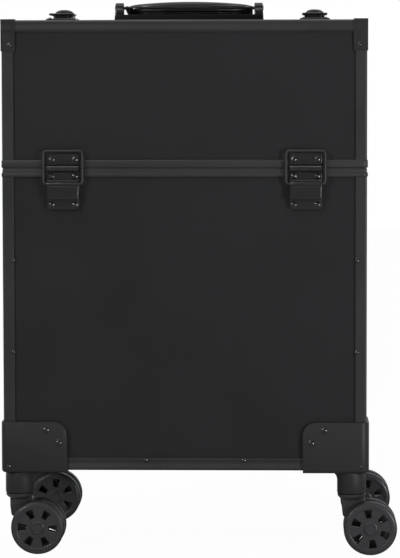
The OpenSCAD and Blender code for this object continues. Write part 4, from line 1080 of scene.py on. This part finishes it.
# %% Mounts
def mount(z0, z1):
    """A block round the tube, as a ring whose outer radius grows with the angle to meet the straight
    cheeks and the foot: the outer point at the angle t lies on a box 24 wide that reaches the panel, or
    on a circle of 12 where that is nearer, behind the tube."""
    t = np.arange(96) * 2 * np.pi / 96
    reach = TUBE_Y - BACK_Y
    towards = np.where(np.sin(t) < 0, -np.sin(t), 0)
    box_r = np.minimum(12 / np.maximum(np.abs(np.cos(t)), 1e-6), reach / np.maximum(towards, 1e-6))
    outer = np.where(np.sin(t) < 0, box_r, 12)
    inner = TUBE_D / 2
    eased = [(inner, z0), (outer - 0.8, z0), (outer, z0 + 0.8), (outer, z1 - 0.8), (outer - 0.8, z1),
             (inner, z1)]
    rows = [np.stack([r * np.cos(t), TUBE_Y + r * np.sin(t), np.full(96, z)], axis=1) for r, z in eased]
    return skin(np.stack(rows), loop=True)


mounts = [mount(mount_low[2], mount_low[2] + 16), mount(mount_high[2] - 16, mount_high[2])]
piece("tube_mounts", two(mounts), "lower_case", wheel_black, "tube", "pull_handle_mounts", sharp=50)

grip_low, grip_high = node_box("pull_handle_grip")
press_low, press_high = node_box("pull_handle_button")
piece("pull_grip", [plate(grip_low, grip_high, 7, 2.2)], "pull_inner", gloss_black, "grip",
      "pull_handle_grip")
piece("release_button", [plate(press_low, press_high, 2.6, 0.5, crown=(1.4, 0.8))], "pull_button",
      tray_black, "grip", "pull_handle_button")

# %% [markdown]
# Inside each half, two trays hang on parallel arms and swing out with the lid. A tray is a thin
# moulding: outside wall, rolled top edge, inside wall and floor are one closed stack of rounded
# rectangles, each a little smaller or higher than the last. Dividers are plates with eased tops, and a
# pad of short velvet lies in every bay.

# %% Trays
WALL = 2.0
BAYS = {"lower": 2, "upper": 3}


def tray_shell(low, high):
    """A stack of rounded rectangles: up the outside, over a rolled rim, down the inside to the floor."""
    z0, z1 = low[2], high[2]
    steps = [(1.0, z0), (0.3, z0 + 0.3), (0, z0 + 1), (0, z1 - 0.8), (0.3, z1 - 0.2), (0.9, z1),
             (1.5, z1 - 0.2), (WALL, z1 - 0.8), (WALL, z0 + 3.2), (WALL + 0.5, z0 + 2.3),
             (WALL + 1.4, z0 + WALL)]
    inset, level = np.array(steps).T
    half, mid = (high - low) / 2, (high + low) / 2
    u, v = round_rectangle(half[0] - inset, half[1] - inset, np.maximum(4 - inset, 1.2))
    return skin(np.stack([mid[0] + u, mid[1] + v, np.broadcast_to(level[:, None], u.shape)], axis=-1))


def dividers(low, high, bays):
    """Upright plates between the bays, evenly spaced along X."""
    edges = np.linspace(low[0] + WALL / 2, high[0] - WALL / 2, bays + 1)[1:-1]
    return [plate((x - 1, low[1] + 1, low[2] + 1), (x + 1, high[1] - 1, high[2] - 0.6), 0.9, 0.7)
            for x in edges]


def bay_pads(low, high, bays):
    """A thin pad on the floor of each bay, 1.5 mm clear of the walls."""
    edges = np.linspace(low[0] + WALL / 2, high[0] - WALL / 2, bays + 1)
    floor_z = low[2] + WALL
    return [plate((a + 2.6, low[1] + 3.6, floor_z - 0.05), (b - 2.6, high[1] - 3.6, floor_z + 1.2), 3, 0.5)
            for a, b in zip(edges[:-1], edges[1:])]


# %% [markdown]
# The arms are flat steel strips with round ends, riveted to the trays and to the end panels. Each is a
# board whose outline is two half circles joined by straight sides, leaning as the CAD arm leans; the
# rivets are plain rods.

# %% Arms, studs and trays into place
arm_low, arm_high = node_box("front_tray_outer_arms")
ARM_X, ARM_T, ARM_W = arm_high[0] - 2.0, 2.0, 10.0
stud_low, stud_high = node_box("tray_pivot_studs")
ROOM_X = stud_high[0]
ARM_Z = (stud_low[2] + stud_high[2]) / 2
lean_run = (arm_high[1] - arm_low[1]) - ARM_W
lean_rise = (arm_high[2] - arm_low[2]) - ARM_W
LEAN = np.arctan2(lean_run, lean_rise)
ARM_L = np.hypot(lean_run, lean_rise)
ARM_YS = [node_box(f"front_tray_{k}_arms")[0][1] + ARM_W / 2 for k in ("outer", "inner")]
PIVOT_UP = 10.0


def strap(y):
    """A strip in the YZ plane from its wall pivot, ARM_L long and leaning back by LEAN."""
    ends = np.concatenate([arc((0, 0), ARM_W / 2, 180, 360), arc((0, ARM_L), ARM_W / 2, 0, 180)])
    along = ends[:, 1:] * [np.sin(LEAN), np.cos(LEAN)]
    across = ends[:, :1] * [np.cos(LEAN), -np.sin(LEAN)]
    return board(along + across + [y, ARM_Z], ARM_X, ARM_X + ARM_T, 0.4, 0)


def wall_stud(y):
    """The pivot on the end panel: a collar and a pin through the arm."""
    return [rod(ARM_X - 0.6, ROOM_X, y, ARM_Z, 4.0), rod(ARM_X + ARM_T + 0.3, ROOM_X, y, ARM_Z, 8.0)]


studs = [s for y in ARM_YS for s in wall_stud(y)]
piece("wall_studs", both(both(studs), 1), "lower_case", bright_steel, "bright_steel", "tray_pivot_studs")
for half_name, turn in (("front", False), ("rear", True)):
    for k, y in zip(("outer", "inner"), ARM_YS):
        straps = both([strap(y)])
        piece(f"{half_name}_{k}_straps", mirrored(straps, 1) if turn else straps, f"{half_name}_{k}_arms",
              bright_steel, "bright_steel", f"{half_name}_tray_{k}_arms")
    for level, bays in BAYS.items():
        low, high = node_box(f"front_{level}_tray")
        reach = (low[2] + PIVOT_UP - ARM_Z) * np.tan(LEAN)
        inner_low, inner_high = low.copy(), high.copy()
        inner_low[0], inner_high[0] = -(ARM_X - 1), ARM_X - 1
        pins = both([rod(inner_high[0] - 0.5, high[0], y + reach, low[2] + PIVOT_UP, 4.0) for y in ARM_YS])
        shells = [tray_shell(inner_low, inner_high)] + dividers(inner_low, inner_high, bays) + pins
        pads = bay_pads(inner_low, inner_high, bays)
        if turn:
            shells, pads = mirrored(shells, 1), mirrored(pads, 1)
        name = f"{half_name}_{level}_tray"
        piece(f"{name}_moulding", shells, name, tray_black, "tray", name)
        piece(f"{name}_pads", pads, name, velvet_grey, "tray")

# %% [markdown]
# The inside of the boards is lined with dark short velvet. The lower lining is a thin open box: the same
# stack of rounded rectangles as a tray, up close to the boards outside and 1 mm further in. Each lid's
# lining is a strip carried round three walls with a flat sheet under the top.

# %% Linings
room_low, room_high = node_box("bottom_panel")
floor_z, edge_z = room_high[2], rim_low[2]
lining = [(0.2, floor_z + 0.05), (0.2, edge_z - 0.2), (0.5, edge_z - 0.05), (1.0, edge_z - 0.2),
          (1.2, floor_z + 3), (1.6, floor_z + 1.6), (2.6, floor_z + 1.1)]
inset, level = np.array(lining).T
u, v = round_rectangle(room_high[0] - inset, room_high[1] - inset, np.maximum(2 - inset, 0.4) + 0.3)
lower_lining = skin(np.stack([u, v, np.broadcast_to(level[:, None], u.shape)], axis=-1))
piece("lower_lining", [lower_lining], "lower_case", velvet_grey, "panel_skin")

lid_room_top = node_box("front_lid_panels")[1][2] - 4
strip = [(0, 0), (1.0, 0), (1.0, lid_room_top - LID_RIM_Z - 0.4), (0, lid_room_top - LID_RIM_Z - 0.4)]
side_x, front_y = room_high[0] - 1.2, room_low[1] + 1.2
walls = [(-side_x, -8.2), (-side_x, front_y), (side_x, front_y), (side_x, -8.2)]
wall_path = np.array([(x, y, LID_RIM_Z + 0.2) for x, y in walls])
wall_strip = carried(np.array(strip), wall_path, (0, 0, 1))
roof = plate((-side_x, front_y, lid_room_top - 1.1), (side_x, -8.2, lid_room_top - 0.1), 2, 0.3)
piece("front_lid_lining", [wall_strip, roof], "front_lid", velvet_grey, "panel_skin")
piece("rear_lid_lining", mirrored([wall_strip, roof], 1), "rear_lid", velvet_grey, "panel_skin")
